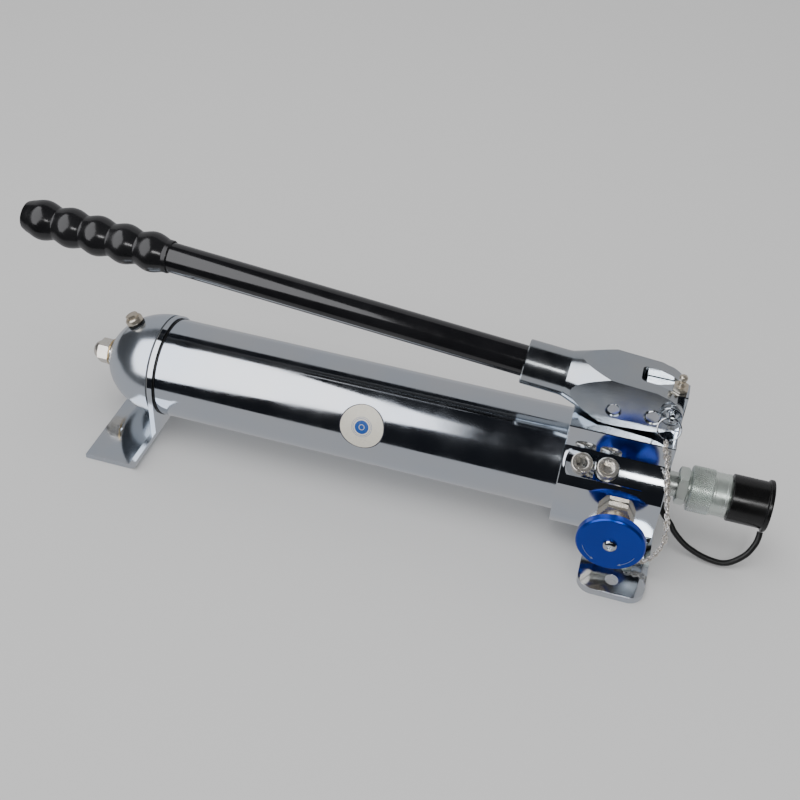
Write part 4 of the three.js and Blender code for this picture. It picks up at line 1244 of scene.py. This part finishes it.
def build_stage():
    build_camera()
    bm = bmesh.new()
    reach = 6.0
    bm.faces.new([bm.verts.new((x, y, 0)) for x, y in rectangle(-reach, reach, -reach, reach)])
    floor = as_object("floor", bm)
    floor.data.materials.append(grey("floor_grey", 0.62, 0.8))
    floor.visible_glossy = False
    ground, wall_y = -0.002, 1.2
    table = [(x, y, ground) for x, y in rectangle(-1.1, 0.8, -0.19, wall_y)]
    card("table_reflection", table, glow("table_glow", 0.46))
    wall = [(x, wall_y, z) for x, z in rectangle(-2.5, 2.5, ground, 1.9)]
    card("wall_reflection", wall, glow("wall_glow", 0.42))
    middle_y, middle_z = -0.964, 1.196
    slope_y, slope_z = 0.766, 0.643
    outline = ((-2.4, -1.5), (-1.2, -1.5), (-0.33, -0.3), (-0.33, 0.3), (-1.2, 2.0), (-2.4, 2.6))
    soft_box = [(x, middle_y + slope_y * rise, middle_z + slope_z * rise) for x, rise in outline]
    card("box_reflection", soft_box, glow("box_glow", 2.6))
    soft_light("top_box", (-0.35, -0.1, 1.6), (-0.15, 0, 0.05), (1.4, 0.8), 9, glossy=False)
    soft_light("front_fill", (0.3, -1.5, 1.3), (-0.1, 0, 0.05), (0.5, 0.3), 5)
    build_world()


# ---- Operators, panel and registration ----


class PumpOperator:
    """Runs its work in order; an error in any step stops the script."""

    bl_options = {"REGISTER", "UNDO"}
    work = ()

    def execute(self, context):
        for step in self.work:
            step()
        return {"FINISHED"}


class PUMP_OT_finishes(PumpOperator, bpy.types.Operator):
    """Make the finishes and put them on the pieces that keep their frame mesh"""

    bl_idname = "pump.finishes"
    bl_label = "Finishes"
    work = (make_finishes, paint_frame)


class PUMP_OT_stage(PumpOperator, bpy.types.Operator):
    """Make the floor, lights and camera"""

    bl_idname = "pump.stage"
    bl_label = "Stage"
    work = (build_stage,)


class PUMP_OT_chain(PumpOperator, bpy.types.Operator):
    """Make the lock pin's chain"""

    bl_idname = "pump.chain"
    bl_label = "Chain"
    work = (build_chain,)


class PUMP_OT_strap(PumpOperator, bpy.types.Operator):
    """Make the dust cap's strap"""

    bl_idname = "pump.strap"
    bl_label = "Strap"
    work = (build_strap,)


class PUMP_OT_reservoir(PumpOperator, bpy.types.Operator):
    """Make the reservoir tube, domed end and dome nut"""

    bl_idname = "pump.reservoir"
    bl_label = "Reservoir"
    work = (build_reservoir,)


class PUMP_OT_vent(PumpOperator, bpy.types.Operator):
    """Make the vent screw and its ring"""

    bl_idname = "pump.vent"
    bl_label = "Vent"
    work = (build_vent,)


class PUMP_OT_feet(PumpOperator, bpy.types.Operator):
    """Make the rear foot and the base plate"""

    bl_idname = "pump.feet"
    bl_label = "Feet"
    work = (build_feet,)


class PUMP_OT_block(PumpOperator, bpy.types.Operator):
    """Make the pump block with its bores"""

    bl_idname = "pump.block"
    bl_label = "Block"
    work = (build_block,)


class PUMP_OT_screws(PumpOperator, bpy.types.Operator):
    """Make the two socket-head valve screws"""

    bl_idname = "pump.screws"
    bl_label = "Valve Screws"
    work = (build_screws,)


class PUMP_OT_plunger(PumpOperator, bpy.types.Operator):
    """Make the plunger and its gland"""

    bl_idname = "pump.plunger"
    bl_label = "Plunger"
    work = (build_plunger,)


class PUMP_OT_fork(PumpOperator, bpy.types.Operator):
    """Make the fork head and its two pins"""

    bl_idname = "pump.fork"
    bl_label = "Fork Head"
    work = (build_fork,)


class PUMP_OT_handle(PumpOperator, bpy.types.Operator):
    """Make the lever tube and the ribbed grip"""

    bl_idname = "pump.handle"
    bl_label = "Handle"
    work = (build_handle,)


class PUMP_OT_nipple(PumpOperator, bpy.types.Operator):
    """Make the grease fitting"""

    bl_idname = "pump.nipple"
    bl_label = "Grease Fitting"
    work = (build_nipple,)


class PUMP_OT_lock_pin(PumpOperator, bpy.types.Operator):
    """Make the lock pin and its rings"""

    bl_idname = "pump.lock_pin"
    bl_label = "Lock Pin"
    work = (build_lock_pin,)


class PUMP_OT_release(PumpOperator, bpy.types.Operator):
    """Make the release valve's nut, stem, wheel and screw"""

    bl_idname = "pump.release"
    bl_label = "Release Valve"
    work = (build_release,)


class PUMP_OT_coupler(PumpOperator, bpy.types.Operator):
    """Make the quick coupler, its knurled collar and cover"""

    bl_idname = "pump.coupler"
    bl_label = "Coupler"
    work = (build_coupler,)


class PUMP_OT_emblem(PumpOperator, bpy.types.Operator):
    """Make the round emblem plate"""

    bl_idname = "pump.emblem"
    bl_label = "Emblem"
    work = (build_emblem,)


OPERATORS = (
    PUMP_OT_stage,
    PUMP_OT_finishes,
    PUMP_OT_chain,
    PUMP_OT_strap,
    PUMP_OT_reservoir,
    PUMP_OT_vent,
    PUMP_OT_feet,
    PUMP_OT_block,
    PUMP_OT_screws,
    PUMP_OT_plunger,
    PUMP_OT_fork,
    PUMP_OT_handle,
    PUMP_OT_nipple,
    PUMP_OT_lock_pin,
    PUMP_OT_release,
    PUMP_OT_coupler,
    PUMP_OT_emblem,
)


class PUMP_PT_panel(bpy.types.Panel):
    """Lists the pump's sizes, colours and building steps"""

    bl_idname = "PUMP_PT_panel"
    bl_label = "Hand Pump"
    bl_space_type = "VIEW_3D"
    bl_region_type = "UI"
    bl_category = "Pump"

    def draw(self, context):
        for group in (context.scene.pump_sizes, context.scene.pump_colours):
            for name in group.__annotations__:
                self.layout.prop(group, name)
        for operator in OPERATORS:
            self.layout.operator(operator.bl_idname)


CLASSES = (PumpSizes, PumpColours, *OPERATORS, PUMP_PT_panel)


def register():
    for one in CLASSES:
        bpy.utils.register_class(one)
    bpy.types.Scene.pump_sizes = PointerProperty(type=PumpSizes)
    bpy.types.Scene.pump_colours = PointerProperty(type=PumpColours)


def unregister():
    del bpy.types.Scene.pump_sizes
    del bpy.types.Scene.pump_colours
    for one in reversed(CLASSES):
        bpy.utils.unregister_class(one)


def main():
    register()
    for operator in OPERATORS:
        getattr(bpy.ops.pump, operator.bl_idname.split(".")[1])()


if __name__ == "__main__":
    main()
